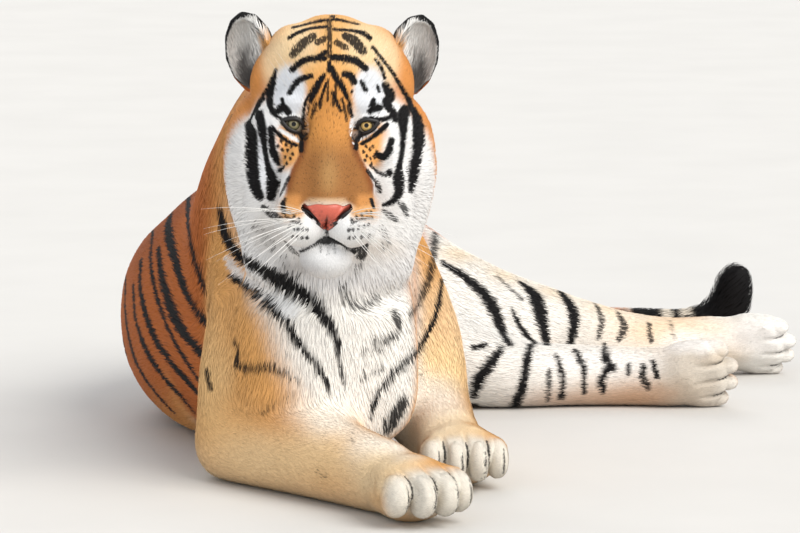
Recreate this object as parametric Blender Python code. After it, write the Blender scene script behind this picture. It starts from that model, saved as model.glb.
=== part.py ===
"""A Siberian tiger at rest, life size, as one still body parted into its named pieces.

The animal lies with its forelegs stretched in front, its head up, its trunk curving back and its
hips rolled onto the right side, so that both hind legs and the tail reach out to its left.
It faces -Y, its left side is +X, and the floor it lies on is Z = 0. Sizes are in metres and
run out to the tips of the coat.

The flesh is first made whole: rounded lofts along the trunk, neck, legs and tail and rounded
masses for the head, shoulders and paws are joined, relaxed and cut flat where they meet the
floor. Then thin cuts part it into head, neck, chest, belly, hips, legs, paws and tail.
"""

import math

import bmesh
import bpy
import numpy as np
from mathutils import Matrix, Vector

# Driving dimensions.
GAP = 0.0004                # clear space left between two pieces that meet
VOXEL = 0.008               # grain of the joined flesh before it is thinned out
FLESH_TRIANGLES = 3200      # triangles that the whole flesh is thinned out to
HEAD_SHARE = 0.5            # how freely the head is thinned out, where 1 is as the rest
HEAD_CARE = 0.15            # and how much that counts
EYE_MIDDLE = Vector((-0.1125, -0.205, 0.612))   # point midway between the two eyes
EYE_SPREAD = 0.0585         # from the middle of the face to the middle of each eye
EYE_RADIUS = 0.0195
HEAD_ROLL = math.radians(1.0)
RING_POINTS = 20            # points round each section of a loft
SECTION_POWER = 2.3         # 2 is an ellipse; more is squarer
OVERRUN = 0.5               # how far a case runs past its last station, in lengths of its last stretch
CAP_ANGLES = (28, 54, 76)   # where the rings of a loft's round end lie, in degrees
TOE_RADIUS = 0.0235
USUAL_PAW_THICK = 0.046     # half thickness of a paw whose toes have that radius
CLAW_LENGTH = 0.016
CLAW_RADIUS = 0.0045

COLOURS = {
    "orange": ((0.55, 0.22, 0.06), 0.85),
    "pale": ((0.78, 0.66, 0.50), 0.85),
    "white": ((0.80, 0.77, 0.72), 0.85),
    "black": ((0.03, 0.025, 0.02), 0.80),
    "nose": ((0.60, 0.22, 0.17), 0.45),
    "eye": ((0.32, 0.30, 0.16), 0.08),
    "horn": ((0.10, 0.08, 0.06), 0.40),
}


def clear_scene():
    """Take every object out of the open file."""
    for item in list(bpy.data.objects):
        bpy.data.objects.remove(item, do_unlink=True)


def material(name):
    """The Principled material of that name, made on first use."""
    found = bpy.data.materials.get(name)
    if found:
        return found
    colour, roughness = COLOURS[name]
    made = bpy.data.materials.new(name)
    made.use_nodes = True
    shader = made.node_tree.nodes["Principled BSDF"]
    shader.inputs["Base Color"].default_value = (*colour, 1.0)
    shader.inputs["Roughness"].default_value = roughness
    shader.inputs["Metallic"].default_value = 0.0
    return made


def new_object(name, shape):
    """An object that holds a finished bmesh, in triangles, so that a grown copy keeps to it."""
    mesh = bpy.data.meshes.new(name)
    bmesh.ops.recalc_face_normals(shape, faces=shape.faces)
    bmesh.ops.triangulate(shape, faces=shape.faces)
    shape.to_mesh(mesh)
    shape.free()
    item = bpy.data.objects.new(name, mesh)
    bpy.context.scene.collection.objects.link(item)
    return item


def baked(item):
    """Turn an object's modifiers into its mesh."""
    depsgraph = bpy.context.evaluated_depsgraph_get()
    mesh = bpy.data.meshes.new_from_object(item.evaluated_get(depsgraph))
    item.modifiers.clear()
    item.data = mesh
    return item


def copy_of(item, name):
    """A second object with its own copy of the mesh."""
    twin = bpy.data.objects.new(name, item.data.copy())
    bpy.context.scene.collection.objects.link(twin)
    return twin


def discard(*items):
    """Remove objects that have done their work."""
    for item in items:
        bpy.data.objects.remove(item, do_unlink=True)


def boolean(item, operation, cutter):
    """Apply one Boolean to an object. The exact solver drops parts of this flesh; this one keeps them."""
    step = item.modifiers.new("cut", "BOOLEAN")
    step.operation = operation
    step.solver = "MANIFOLD"
    step.object = cutter
    return baked(item)


def grown(item, distance):
    """A copy of an object with its faces moved out by a distance."""
    twin = copy_of(item, item.name + "_grown")
    shape = bmesh.new()
    shape.from_mesh(twin.data)
    shape.normal_update()
    moves = [vert.normal * distance * vert.calc_shell_factor() for vert in shape.verts]
    for vert, move in zip(shape.verts, moves):
        vert.co += move
    shape.to_mesh(twin.data)
    shape.free()
    return twin


# Rounded shapes.

def ball(centre, radii, turn=(0.0, 0.0, 0.0), detail=3):
    """An ellipsoid; turn holds its rotations about X, Y and Z in degrees."""
    shape = bmesh.new()
    bmesh.ops.create_icosphere(shape, subdivisions=detail, radius=1.0)
    spin = Matrix.Identity(3)
    for axis, angle in zip("XYZ", turn):
        spin = Matrix.Rotation(math.radians(angle), 3, axis) @ spin
    sizes = Vector(radii)
    for vert in shape.verts:
        vert.co = spin @ (vert.co * sizes) + Vector(centre)
    return new_object("ball", shape)


def spline(stations, steps):
    """Rows of a smooth curve through the stations, with their sizes."""
    rows = np.array([(*place, wide, tall) for place, wide, tall in stations])
    rows = np.vstack([2 * rows[0] - rows[1], rows, 2 * rows[-1] - rows[-2]])
    out = []
    for first in range(len(rows) - 3):
        a, b, c, d = rows[first:first + 4]
        for step in range(steps):
            t = step / steps
            out.append(0.5 * (2 * b + (c - a) * t + (2 * a - 5 * b + 4 * c - d) * t ** 2
                              + (3 * b - a - 3 * c + d) * t ** 3))
    out.append(rows[-2])
    return np.array(out)


def loft(stations, up=(0.0, 0.0, 1.0), steps=4, swell=0.0, points=RING_POINTS, cap_angles=CAP_ANGLES):
    """A body along stations of (place, half width, half height), round at its ends if they are capped."""
    rows = spline(stations, steps)
    rows[:, 3:] += swell
    places = rows[:, :3]
    tangents = np.gradient(places, axis=0)
    tangents /= np.linalg.norm(tangents, axis=1)[:, None]
    caps = [(math.cos(angle), math.sin(angle)) for angle in np.radians(cap_angles)]
    rings = []
    for sink, out in reversed(caps):
        rings.append((places[0] - tangents[0] * out * min(rows[0, 3:]), tangents[0], rows[0, 3:] * sink))
    for place, tangent, row in zip(places, tangents, rows):
        rings.append((place, tangent, row[3:]))
    for sink, out in caps:
        rings.append((places[-1] + tangents[-1] * out * min(rows[-1, 3:]), tangents[-1], rows[-1, 3:] * sink))
    shape = bmesh.new()
    loops = []
    for place, tangent, (wide, tall) in rings:
        side = Vector(tangent).cross(Vector(up)).normalized()
        top = side.cross(Vector(tangent)).normalized()
        loop = []
        for index in range(points):
            angle = 2 * math.pi * index / points
            across = abs(math.cos(angle)) ** (2 / SECTION_POWER) * math.copysign(1, math.cos(angle))
            above = abs(math.sin(angle)) ** (2 / SECTION_POWER) * math.copysign(1, math.sin(angle))
            loop.append(shape.verts.new(Vector(place) + side * wide * across + top * tall * above))
        loops.append(loop)
    for one, two in zip(loops, loops[1:]):
        for index in range(points):
            after = (index + 1) % points
            shape.faces.new((one[index], one[after], two[after], two[index]))
    shape.faces.new(reversed(loops[0]))
    shape.faces.new(loops[-1])
    return new_object("loft", shape)


def in_head(x, y, z):
    """A place in the head, given from the point between the eyes."""
    return EYE_MIDDLE + Matrix.Rotation(HEAD_ROLL, 3, "Y") @ Vector((x, y, z))


# The stations of the trunk, neck, legs and tail: place, half width, half height.

TRUNK = [
    ((-0.135, 0.020, 0.225), 0.155, 0.215),
    ((-0.155, 0.150, 0.255), 0.190, 0.255),
    ((-0.210, 0.320, 0.245), 0.208, 0.250),
    ((-0.265, 0.500, 0.200), 0.220, 0.225),
    ((-0.280, 0.690, 0.180), 0.222, 0.200),
    ((-0.200, 0.890, 0.170), 0.205, 0.195),
    ((-0.050, 0.990, 0.160), 0.180, 0.180),
    ((0.070, 1.060, 0.120), 0.115, 0.125),
]
NECK = [
    ((-0.118, -0.040, 0.615), 0.130, 0.145),
    ((-0.145, 0.060, 0.540), 0.155, 0.170),
    ((-0.185, 0.170, 0.440), 0.160, 0.190),
    ((-0.210, 0.270, 0.350), 0.160, 0.190),
]
THROAT = [
    ((-0.1125, -0.110, 0.420), 0.120, 0.100),
    ((-0.120, -0.080, 0.280), 0.150, 0.110),
    ((-0.115, -0.060, 0.150), 0.150, 0.110),
]
FORELEG_RIGHT = [
    ((-0.225, 0.110, 0.370), 0.080, 0.120),
    ((-0.238, 0.040, 0.260), 0.078, 0.105),
    ((-0.258, 0.010, 0.120), 0.078, 0.090),
]
FOREARM_RIGHT = [
    ((-0.270, 0.005, 0.062), 0.084, 0.080),
    ((-0.185, -0.110, 0.072), 0.074, 0.080),
    ((-0.095, -0.225, 0.068), 0.064, 0.072),
    ((-0.025, -0.310, 0.058), 0.058, 0.062),
]
FORELEG_LEFT = [
    ((-0.050, 0.290, 0.330), 0.080, 0.115),
    ((0.000, 0.250, 0.230), 0.072, 0.105),
    ((0.040, 0.240, 0.120), 0.068, 0.085),
]
FOREARM_LEFT = [
    ((0.050, 0.250, 0.070), 0.070, 0.078),
    ((0.058, 0.140, 0.075), 0.070, 0.075),
    ((0.078, 0.000, 0.060), 0.060, 0.060),
]
THIGH_RIGHT = [
    ((-0.080, 0.830, 0.130), 0.140, 0.130),
    ((0.080, 0.760, 0.085), 0.105, 0.085),
    ((0.190, 0.745, 0.056), 0.090, 0.066),
]
SHANK_RIGHT = [
    ((0.190, 0.745, 0.054), 0.085, 0.064),
    ((0.320, 0.760, 0.052), 0.072, 0.060),
    ((0.430, 0.755, 0.050), 0.060, 0.056),
    ((0.500, 0.740, 0.054), 0.056, 0.056),
]
THIGH_LEFT = [
    ((0.000, 0.960, 0.160), 0.150, 0.145),
    ((0.160, 0.930, 0.120), 0.125, 0.112),
    ((0.300, 0.960, 0.092), 0.100, 0.088),
]
SHANK_LEFT = [
    ((0.300, 0.960, 0.092), 0.092, 0.084),
    ((0.420, 1.020, 0.070), 0.070, 0.066),
    ((0.520, 1.080, 0.060), 0.056, 0.057),
    ((0.600, 1.100, 0.060), 0.054, 0.056),
]
TAIL = [
    ((0.070, 1.100, 0.090), 0.062, 0.062),
    ((0.160, 1.250, 0.050), 0.050, 0.050),
    ((0.300, 1.370, 0.042), 0.044, 0.044),
    ((0.460, 1.400, 0.040), 0.042, 0.042),
    ((0.580, 1.385, 0.044), 0.038, 0.038),
    ((0.645, 1.370, 0.082), 0.037, 0.037),
    ((0.658, 1.360, 0.150), 0.036, 0.036),
]

# Rounded masses of the head, from the point between the eyes: place, radii, turn.
# One with its centre off the middle is made on both sides.

HEAD_MASSES = [
    ((0.000, 0.110, 0.056), (0.118, 0.130, 0.122), (0, 0, 0)),         # cranium
    ((0.046, 0.042, 0.030), (0.052, 0.050, 0.052), (0, 0, 0)),         # brow
    ((0.037, -0.074, -0.148), (0.047, 0.056, 0.042), (0, 0, 0)),       # whisker pad
    ((0.000, -0.066, -0.204), (0.052, 0.050, 0.040), (0, 0, 0)),       # chin
    ((0.000, 0.005, -0.160), (0.085, 0.100, 0.080), (0, 0, 0)),        # jaw
    ((0.040, 0.000, -0.085), (0.052, 0.070, 0.075), (0, 0, 0)),        # side of the muzzle
    ((0.090, 0.085, -0.070), (0.078, 0.090, 0.100), (0, 0, 0)),        # cheek
    ((0.108, 0.115, -0.105), (0.068, 0.090, 0.150), (0, 8, 0)),        # ruff
    ((0.060, 0.070, -0.215), (0.085, 0.085, 0.090), (0, 0, 0)),        # lower ruff
]
BRIDGE = [
    ((0.000, 0.035, 0.020), 0.040, 0.050),
    ((0.000, -0.020, -0.045), 0.044, 0.046),
    ((0.000, -0.080, -0.108), 0.046, 0.036),
]
NOSE = ((0.000, -0.113, -0.118), (0.030, 0.020, 0.022))
EAR_PLACE = (0.131, 0.100, 0.106)
EAR_OUTER = (0.044, 0.030, 0.070)
EAR_INNER = (0.036, 0.030, 0.060)
EAR_DEPTH = 0.019
EAR_LEAN = 14
EAR_TURN = 18

# Where the head, neck, chest and hips are cut from the trunk. A body cut is a point on a plane
# and the plane's normal, which faces away from the node that is cut off.

HEAD_OUTLINE = [(-0.60, 0.335), (-0.11, 0.335), (0.03, 0.66), (0.06, 0.90), (-0.60, 0.90)]
BODY_CUTS = {
    "neck": ((-0.15, 0.06, 0.465), (0.0, 0.62, -0.78)),
    "chest": ((-0.19, 0.36, 0.20), (-0.35, 0.94, 0.0)),
    "hips": ((-0.21, 0.84, 0.20), (-0.85, -0.52, 0.0)),
}

# The cases that cut the legs and tail into lengths, in the order they are cut: the stations
# that a case follows, how far it stands off them, how far before them it starts, and the
# colour of the piece.

LIMB_CUTS = [
    ("forearm_right", FOREARM_RIGHT, 0.014, 0.08, "pale"),
    ("forearm_left", FOREARM_LEFT, 0.012, 0.08, "pale"),
    ("foreleg_right", FORELEG_RIGHT, 0.016, 0.0, "orange"),
    ("foreleg_left", FORELEG_LEFT, 0.016, 0.0, "orange"),
    ("shank_right", SHANK_RIGHT, 0.030, 0.0, "white"),
    ("shank_left", SHANK_LEFT, 0.012, 0.0, "white"),
    ("thigh_right", THIGH_RIGHT, 0.022, 0.0, "white"),
    ("thigh_left", THIGH_LEFT, 0.012, 0.0, "white"),
    ("tail_tip", TAIL[4:], 0.020, 0.0, "black"),
    ("tail_middle", TAIL[2:5], 0.020, 0.0, "black"),
    ("tail_base", TAIL[:3], 0.014, 0.0, "orange"),
]

# Paws: the middle, where the toes point, the row of toes, and the paw's half sizes
# along that row, through the sole and along the foot.

PAWS = {
    "forepaw_right": ((0.015, -0.366, 0.051), (0.45, -0.89, 0.0), (0.89, 0.45, 0.0), (0.073, 0.056, 0.080)),
    "forepaw_left": ((0.097, -0.054, 0.050), (0.16, -0.98, 0.0), (0.98, 0.16, 0.0), (0.071, 0.055, 0.077)),
    "hindpaw_right": ((0.523, 0.725, 0.064), (1.0, -0.10, 0.0), (0.0, -0.35, 0.94), (0.064, 0.050, 0.058)),
    "hindpaw_left": ((0.658, 1.105, 0.063), (1.0, -0.05, -0.1), (0.1, -0.45, 0.88), (0.061, 0.050, 0.062)),
}
TOES = [(-0.76, 0.60), (-0.27, 0.90), (0.27, 0.90), (0.76, 0.60)]   # across and forward, in half sizes


def paw_frame(name):
    """The middle, forward and across directions, sole direction and half sizes of a paw."""
    middle, forward, across, sizes = PAWS[name]
    forward = Vector(forward).normalized()
    across = Vector(across)
    across = (across - forward * across.dot(forward)).normalized()
    return Vector(middle), forward, across, across.cross(forward).normalized(), sizes


def toe_radius(thick):
    """A toe's radius, which follows the half thickness of its paw."""
    return TOE_RADIUS * thick / USUAL_PAW_THICK


def paw_masses(name):
    """The palm and toes of a paw."""
    middle, forward, across, above, (wide, thick, long) = paw_frame(name)
    turn = Matrix((across, above, forward)).transposed()
    angles = [math.degrees(value) for value in turn.to_euler()]
    radius = toe_radius(thick)
    masses = [ball(middle, (wide, thick, long), angles)]
    for side, ahead in TOES:
        place = middle + across * side * wide + forward * ahead * long - above * 0.15 * thick
        masses.append(ball(place, (radius * 0.95, radius * 1.2, radius * 1.45), angles, 2))
    return masses


def claw(name, index):
    """One claw: a short curved cone that leaves the front of a toe."""
    middle, forward, across, above, (wide, thick, long) = paw_frame(name)
    side, ahead = TOES[index]
    root = middle + across * side * wide + forward * (ahead * long + toe_radius(thick) * 0.95) - above * 0.1 * thick
    stations = []
    for t in (0.0, 0.5, 1.0):
        place = root + forward * CLAW_LENGTH * t - above * CLAW_LENGTH * 0.5 * t * t
        radius = CLAW_RADIUS * (1.0 - 0.75 * t)
        stations.append((tuple(place), radius * 0.7, radius))
    return loft(stations, up=tuple(above), steps=1, points=6, cap_angles=())


def head_masses():
    """Every rounded mass of the head."""
    masses = []
    for (x, y, z), radii, (roll, lean, turn) in HEAD_MASSES:
        for side in (1, -1) if x else (1,):
            masses.append(ball(in_head(x * side, y, z), radii, (roll, lean * side, turn * side)))
    bridge = [(tuple(in_head(*place)), wide, tall) for place, wide, tall in BRIDGE]
    masses.append(loft(bridge))
    return masses


def ear(name, side):
    """A cupped ear that opens forward and a little outward."""
    x, y, z = EAR_PLACE
    turn = (0, EAR_LEAN * side, EAR_TURN * side)
    outer = ball(in_head(x * side, y, z), EAR_OUTER, turn, 2)
    ahead = Matrix.Rotation(math.radians(turn[2]), 3, "Z") @ Vector((0, -EAR_DEPTH, 0))
    hollow = ball(in_head(x * side, y, z) + ahead, EAR_INNER, turn, 2)
    boolean(outer, "DIFFERENCE", hollow)
    discard(hollow)
    outer.name = name
    return outer


# The whole flesh.

def joined(items, name):
    """One object from many."""
    shape = bmesh.new()
    for item in items:
        shape.from_mesh(item.data)
    discard(*items)
    return new_object(name, shape)


def relax(item, passes, weight):
    """Even out a mesh: each point moves toward its neighbours by weight(place)."""
    mesh = item.data
    places = np.empty(len(mesh.vertices) * 3)
    mesh.vertices.foreach_get("co", places)
    places = places.reshape(-1, 3)
    ends = np.empty(len(mesh.edges) * 2, int)
    mesh.edges.foreach_get("vertices", ends)
    ends = ends.reshape(-1, 2)
    both = np.concatenate([ends, ends[:, ::-1]])
    counts = np.bincount(both[:, 0], minlength=len(places))
    share = weight(places)[:, None]
    for _ in range(passes):
        sums = np.stack([np.bincount(both[:, 0], places[both[:, 1], axis], len(places)) for axis in range(3)], 1)
        places = places + share * (sums / counts[:, None] - places)
    mesh.vertices.foreach_set("co", places.ravel())
    mesh.update()


def relax_weight(places):
    """Full on the trunk and legs, light on the face and on the paws."""
    weight = np.full(len(places), 0.6)
    face = np.linalg.norm(places - np.array(in_head(0, -0.05, -0.08)), axis=1)
    weight = np.minimum(weight, 0.25 + 0.35 * np.clip((face - 0.15) / 0.10, 0, 1))
    for middle, *_ in PAWS.values():
        away = np.linalg.norm(places - np.array(middle), axis=1)
        weight = np.minimum(weight, 0.12 + 0.5 * np.clip((away - 0.10) / 0.06, 0, 1))
    return weight


def side_prism(outline, low, high):
    """A solid from an outline of (y, z) corners, between two values of x."""
    shape = bmesh.new()
    near = [shape.verts.new((low, y, z)) for y, z in outline]
    far = [shape.verts.new((high, y, z)) for y, z in outline]
    shape.faces.new(near)
    shape.faces.new(reversed(far))
    for index, (one, two) in enumerate(zip(near, far)):
        after = (index + 1) % len(outline)
        shape.faces.new((one, two, far[after], near[after]))
    return new_object("side_prism", shape)


def trim(item, point, normal):
    """Take away what lies beyond a plane, on the side its normal faces, and close the cut."""
    shape = bmesh.new()
    shape.from_mesh(item.data)
    everything = shape.verts[:] + shape.edges[:] + shape.faces[:]
    cut = bmesh.ops.bisect_plane(shape, geom=everything, dist=1e-6, plane_co=point, plane_no=normal,
                                 clear_outer=True)
    rim = [part for part in cut["geom_cut"] if isinstance(part, bmesh.types.BMEdge)]
    bmesh.ops.triangle_fill(shape, edges=rim, use_beauty=True, use_dissolve=False, normal=normal)
    bmesh.ops.recalc_face_normals(shape, faces=shape.faces)
    shape.to_mesh(item.data)
    shape.free()
    return item


def whole_flesh():
    """Trunk, neck, head, legs, paws and tail as one closed body that rests on Z = 0."""
    pieces = head_masses()
    for stations in (TRUNK, FORELEG_RIGHT, FOREARM_RIGHT, FORELEG_LEFT, FOREARM_LEFT,
                     THIGH_RIGHT, SHANK_RIGHT, THIGH_LEFT, SHANK_LEFT, TAIL):
        pieces.append(loft(stations))
    pieces.append(loft(NECK, up=(0, -1, 0)))
    pieces.append(loft(THROAT, up=(0, -1, 0)))
    for name in PAWS:
        pieces.extend(paw_masses(name))
    flesh = joined(pieces, "flesh")
    remesh = flesh.modifiers.new("join", "REMESH")
    remesh.mode = "VOXEL"
    remesh.voxel_size = VOXEL
    baked(flesh)
    relax(flesh, 14, relax_weight)
    share = flesh.vertex_groups.new(name="share")
    middle = in_head(0, -0.02, -0.05)
    for vert in flesh.data.vertices:
        share.add([vert.index], HEAD_SHARE if (vert.co - middle).length < 0.21 else 1.0, "REPLACE")
    thin = flesh.modifiers.new("thin", "DECIMATE")
    thin.ratio = FLESH_TRIANGLES / (2.0 * len(flesh.data.polygons))
    thin.use_collapse_triangulate = True
    thin.vertex_group = share.name
    thin.vertex_group_factor = HEAD_CARE
    baked(flesh)
    return trim(flesh, (0, 0, 0), (0, 0, -1))


# Parting the flesh.

def main_island(item):
    """Keep an object's largest connected body and drop slivers beside it."""
    shape = bmesh.new()
    shape.from_mesh(item.data)
    bmesh.ops.remove_doubles(shape, verts=shape.verts, dist=1e-6)
    shape.verts.ensure_lookup_table()
    seen = set()
    islands = []
    for vert in shape.verts:
        if vert.index in seen:
            continue
        seen.add(vert.index)
        group = [vert]
        for member in group:
            for edge in member.link_edges:
                other = edge.other_vert(member)
                if other.index not in seen:
                    seen.add(other.index)
                    group.append(other)
        islands.append(group)
    islands.sort(key=len)
    for group in islands[:-1]:
        bmesh.ops.delete(shape, geom=group, context="VERTS")
    shape.to_mesh(item.data)
    shape.free()
    return item


def part_off(flesh, envelope, name):
    """Cut the flesh inside an envelope off as a node of its own."""
    node = copy_of(flesh, name)
    boolean(node, "INTERSECT", envelope)
    wider = grown(envelope, GAP)
    boolean(flesh, "DIFFERENCE", wider)
    discard(envelope, wider)
    main_island(node)
    main_island(flesh)
    return node


def cut_by_plane(flesh, name):
    """Cut off the node that lies beyond its plane in BODY_CUTS."""
    point, normal = (Vector(value) for value in BODY_CUTS[name])
    node = trim(copy_of(flesh, name), point, normal)
    trim(flesh, point + normal.normalized() * GAP, -normal)
    main_island(node)
    main_island(flesh)
    return node


def sink(item, insert):
    """Take room for an insert, and the gap round it, out of an object."""
    room = grown(insert, GAP)
    boolean(item, "DIFFERENCE", room)
    discard(room)


def finish(item, name, colour):
    """Name a node, give it its material, and shade it."""
    item.name = name
    item.data.name = name
    item.data.materials.clear()
    item.data.materials.append(material(colour))
    item.data.shade_smooth()
    return item


def envelope(stations, swell=0.0, back=0.0, up=(0.0, 0.0, 1.0)):
    """A plain eight-sided case that cuts flesh off: back metres before the stations, to past the last."""
    first, second = (Vector(place) for place, *_ in stations[:2])
    before, last = (Vector(place) for place, *_ in stations[-2:])
    if back:
        start = first + (first - second).normalized() * back
        stations = [(tuple(start), *stations[0][1:])] + stations
    stations = stations + [(tuple(last + (last - before) * OVERRUN), *stations[-1][1:])]
    return loft(stations, up, steps=1, swell=swell, points=8, cap_angles=())


def paw_envelope(name, swell):
    """A case round a paw, from the wrist or hock to past the claws."""
    middle, forward, across, above, (wide, thick, long) = paw_frame(name)
    ends = [(tuple(middle + forward * long * ahead), wide * 1.25, thick * 1.4) for ahead in (-0.8, 1.2)]
    return envelope(ends, swell, up=tuple(above))


def centre_on_floor():
    """Move every node so that the middle of the whole tiger's box stands on the origin."""
    items = list(bpy.data.objects)
    places = np.array([vert.co for item in items for vert in item.data.vertices])
    low, high = places.min(axis=0), places.max(axis=0)
    shift = Matrix.Translation((-(low[0] + high[0]) / 2, -(low[1] + high[1]) / 2, 0.0))
    for item in items:
        item.data.transform(shift)


def build():
    """Make the whole tiger."""
    clear_scene()
    trunk = whole_flesh()
    chest = cut_by_plane(trunk, "chest")
    hips = cut_by_plane(trunk, "hips")
    head = part_off(chest, side_prism(HEAD_OUTLINE, -0.6, 0.4), "head")
    for name in PAWS:
        paw = part_off(chest if name.startswith("fore") else hips, paw_envelope(name, 0.008), name)
        for index in range(len(TOES)):
            nail = claw(name, index)
            sink(paw, nail)
            finish(nail, f"claw_{name}_{index + 1}", "horn")
        finish(main_island(paw), name, "pale")
    for name, stations, swell, back, colour in LIMB_CUTS:
        source = chest if name.startswith("fore") else hips
        finish(part_off(source, envelope(stations, swell, back), name), name, colour)
    neck = cut_by_plane(chest, "neck")
    for item, name in ((neck, "neck"), (chest, "chest"), (trunk, "trunk"), (hips, "hips")):
        finish(item, name, "orange")
    for name, side in (("right", -1), ("left", 1)):
        eye = ball(in_head(EYE_SPREAD * side, 0.012, 0.0), (EYE_RADIUS,) * 3, detail=2)
        sink(head, eye)
        finish(eye, "eye_" + name, "eye")
        cup = ear("ear_" + name, side)
        sink(cup, head)
        finish(main_island(cup), "ear_" + name, "black")
    nose = ball(in_head(*NOSE[0]), NOSE[1], detail=2)
    sink(head, nose)
    finish(nose, "nose", "nose")
    finish(main_island(head), "head", "orange")
    centre_on_floor()


build()
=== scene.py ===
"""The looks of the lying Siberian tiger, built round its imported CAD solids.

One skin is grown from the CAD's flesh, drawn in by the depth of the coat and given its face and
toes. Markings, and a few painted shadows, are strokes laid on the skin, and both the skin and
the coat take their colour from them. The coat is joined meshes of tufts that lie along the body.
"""

import math

import bmesh
import bpy
import numpy as np
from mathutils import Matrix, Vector, noise
from mathutils.bvhtree import BVHTree
from mathutils.kdtree import KDTree

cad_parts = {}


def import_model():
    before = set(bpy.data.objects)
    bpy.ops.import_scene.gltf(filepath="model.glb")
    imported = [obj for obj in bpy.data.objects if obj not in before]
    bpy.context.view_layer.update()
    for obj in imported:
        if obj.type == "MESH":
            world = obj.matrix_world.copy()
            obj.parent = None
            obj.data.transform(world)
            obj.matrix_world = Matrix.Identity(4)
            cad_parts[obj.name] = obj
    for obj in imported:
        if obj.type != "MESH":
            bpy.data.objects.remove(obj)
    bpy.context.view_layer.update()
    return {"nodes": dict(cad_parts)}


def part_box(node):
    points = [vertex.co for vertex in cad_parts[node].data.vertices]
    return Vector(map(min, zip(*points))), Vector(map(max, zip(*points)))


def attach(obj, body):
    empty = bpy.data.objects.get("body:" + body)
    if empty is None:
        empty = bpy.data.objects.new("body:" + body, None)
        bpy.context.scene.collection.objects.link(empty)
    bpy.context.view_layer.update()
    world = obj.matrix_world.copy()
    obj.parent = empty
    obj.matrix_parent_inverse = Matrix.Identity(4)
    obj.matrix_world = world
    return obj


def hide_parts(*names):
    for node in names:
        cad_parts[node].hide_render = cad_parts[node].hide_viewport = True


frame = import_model()

# Driving sizes, in metres.
SEAM = 0.0010               # how far each solid is grown, so that the cuts between them close
GRAIN = 0.0090              # grain of the skin on the body
COAT_DRAW = 0.60            # share of the coat's height by which the skin is drawn in
TAIL_MORE = 0.011           # the far half of the tail is this much thicker, for its loose hair
FLOOR_REACH = 0.006         # skin lower than this lies on the floor
FLOOR_LIFT = 0.0008         # and stays this far above it
SKIN_PASSES = 30            # how often the skin is evened out
HEAD_FINE = 0.22            # the skin is made finer this near to the head
PAW_FINE = (0.11, 0.09)     # and twice this near to the paws
PAW_AHEAD = 0.03            # about a place this far ahead of each paw's middle
FACE_PASSES = 10            # steps in which the face is pulled onto its field
FACE_PULL = 0.8             # share of the way in each step
FACE_EVEN = 0.25            # and how much the face is evened out after each
TOE_REACH = 0.10            # the toes swell skin this near to the claws
PAW_REACH = 0.14            # and grooves are pressed this near to a paw's middle
TOE_GROOVE = 0.007          # how deep a groove is
TOE_GROOVE_WIDTH = 0.0045   # and half of how wide
# A toe's half sizes, and how far its middle lies behind its claw's and below it, as shares of the
# gap between the claws.
FORE_TOE = (0.53, 0.95, 0.92, 0.60, 0.20)
HIND_TOE = (0.52, 0.95, 0.62, 0.62, 0.00)
FACE_AHEAD = 0.012          # the face's own origin lies this far ahead of the middle of the eyeballs

CAMERA_OFF = (0.1125, -7.207, 0.738)    # the camera's place from the middle between the eyeballs
CAMERA_DIP = math.radians(7.65)         # how far it looks down
LENS = 202.5
SENSOR = 36.0

SEED = 11
NOT_FLESH = ("ear", "claw")
HEAD_PARTS = ("head", "eye", "nose")
nodes = frame["nodes"]
flesh_names = [name for name in sorted(nodes) if not name.startswith(NOT_FLESH)]


# Small helpers.

def box_middle(name):
    """The middle of a CAD node's box."""
    low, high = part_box(name)
    return np.array((low + high) / 2)


def values_of(items, key, wide=3, kind=float):
    """A property of a mesh's points, edges or triangles as an array, with a row for each."""
    out = np.empty(len(items) * wide, kind)
    items.foreach_get(key, out)
    return out.reshape(-1, wide)


def places_of(mesh):
    """A mesh's points."""
    return values_of(mesh.vertices, "co")


def normals_of(mesh):
    """A mesh's point normals."""
    return values_of(mesh.vertices, "normal")


def triangles_of(mesh):
    """The three points of each of a mesh's triangles."""
    mesh.calc_loop_triangles()
    return values_of(mesh.loop_triangles, "vertices", 3, int)


def move_points(mesh, places):
    """Put a mesh's points at new places."""
    mesh.vertices.foreach_set("co", np.ascontiguousarray(places, dtype=float).ravel())
    mesh.update()


def norm(vectors):
    """The lengths of rows of vectors."""
    return np.linalg.norm(vectors, axis=-1)


def unit(vectors):
    """Vectors made one metre long."""
    return vectors / np.maximum(np.linalg.norm(vectors, axis=-1, keepdims=True), 1e-9)


def smooth_step(value, low, high):
    """0 below low, 1 above high, and smooth between."""
    t = np.clip((value - low) / (high - low), 0.0, 1.0)
    return t * t * (3.0 - 2.0 * t)


def fall(value, low, high):
    """1 below low, 0 above high, and smooth between."""
    return 1 - smooth_step(value, low, high)


def mix(first, second, share):
    """Between two values or colours by a share of the second; a row of shares gives a row of colours."""
    share = np.asarray(share)
    if share.ndim:
        share = share[:, None]
    return first * (1.0 - share) + second * share


def point_tree(places):
    """A tree of places, to find the nearest."""
    tree = KDTree(len(places))
    for index, place in enumerate(places):
        tree.insert(place, index)
    tree.balance()
    return tree


def face_tree(mesh):
    """A tree of a mesh's faces, to find places on it."""
    corners = [vert.co for vert in mesh.vertices]
    return BVHTree.FromPolygons(corners, [tuple(face.vertices) for face in mesh.polygons])


def new_object(name, mesh):
    """An object for a mesh, in the scene."""
    item = bpy.data.objects.new(name, mesh)
    bpy.context.scene.collection.objects.link(item)
    return item


def remeshed(item, grain):
    """Turn an object's mesh into one even closed mesh."""
    remesh = item.modifiers.new("even", "REMESH")
    remesh.mode = "VOXEL"
    remesh.voxel_size = grain
    depsgraph = bpy.context.evaluated_depsgraph_get()
    mesh = bpy.data.meshes.new_from_object(item.evaluated_get(depsgraph))
    item.modifiers.clear()
    item.data = mesh
    return mesh


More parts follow.
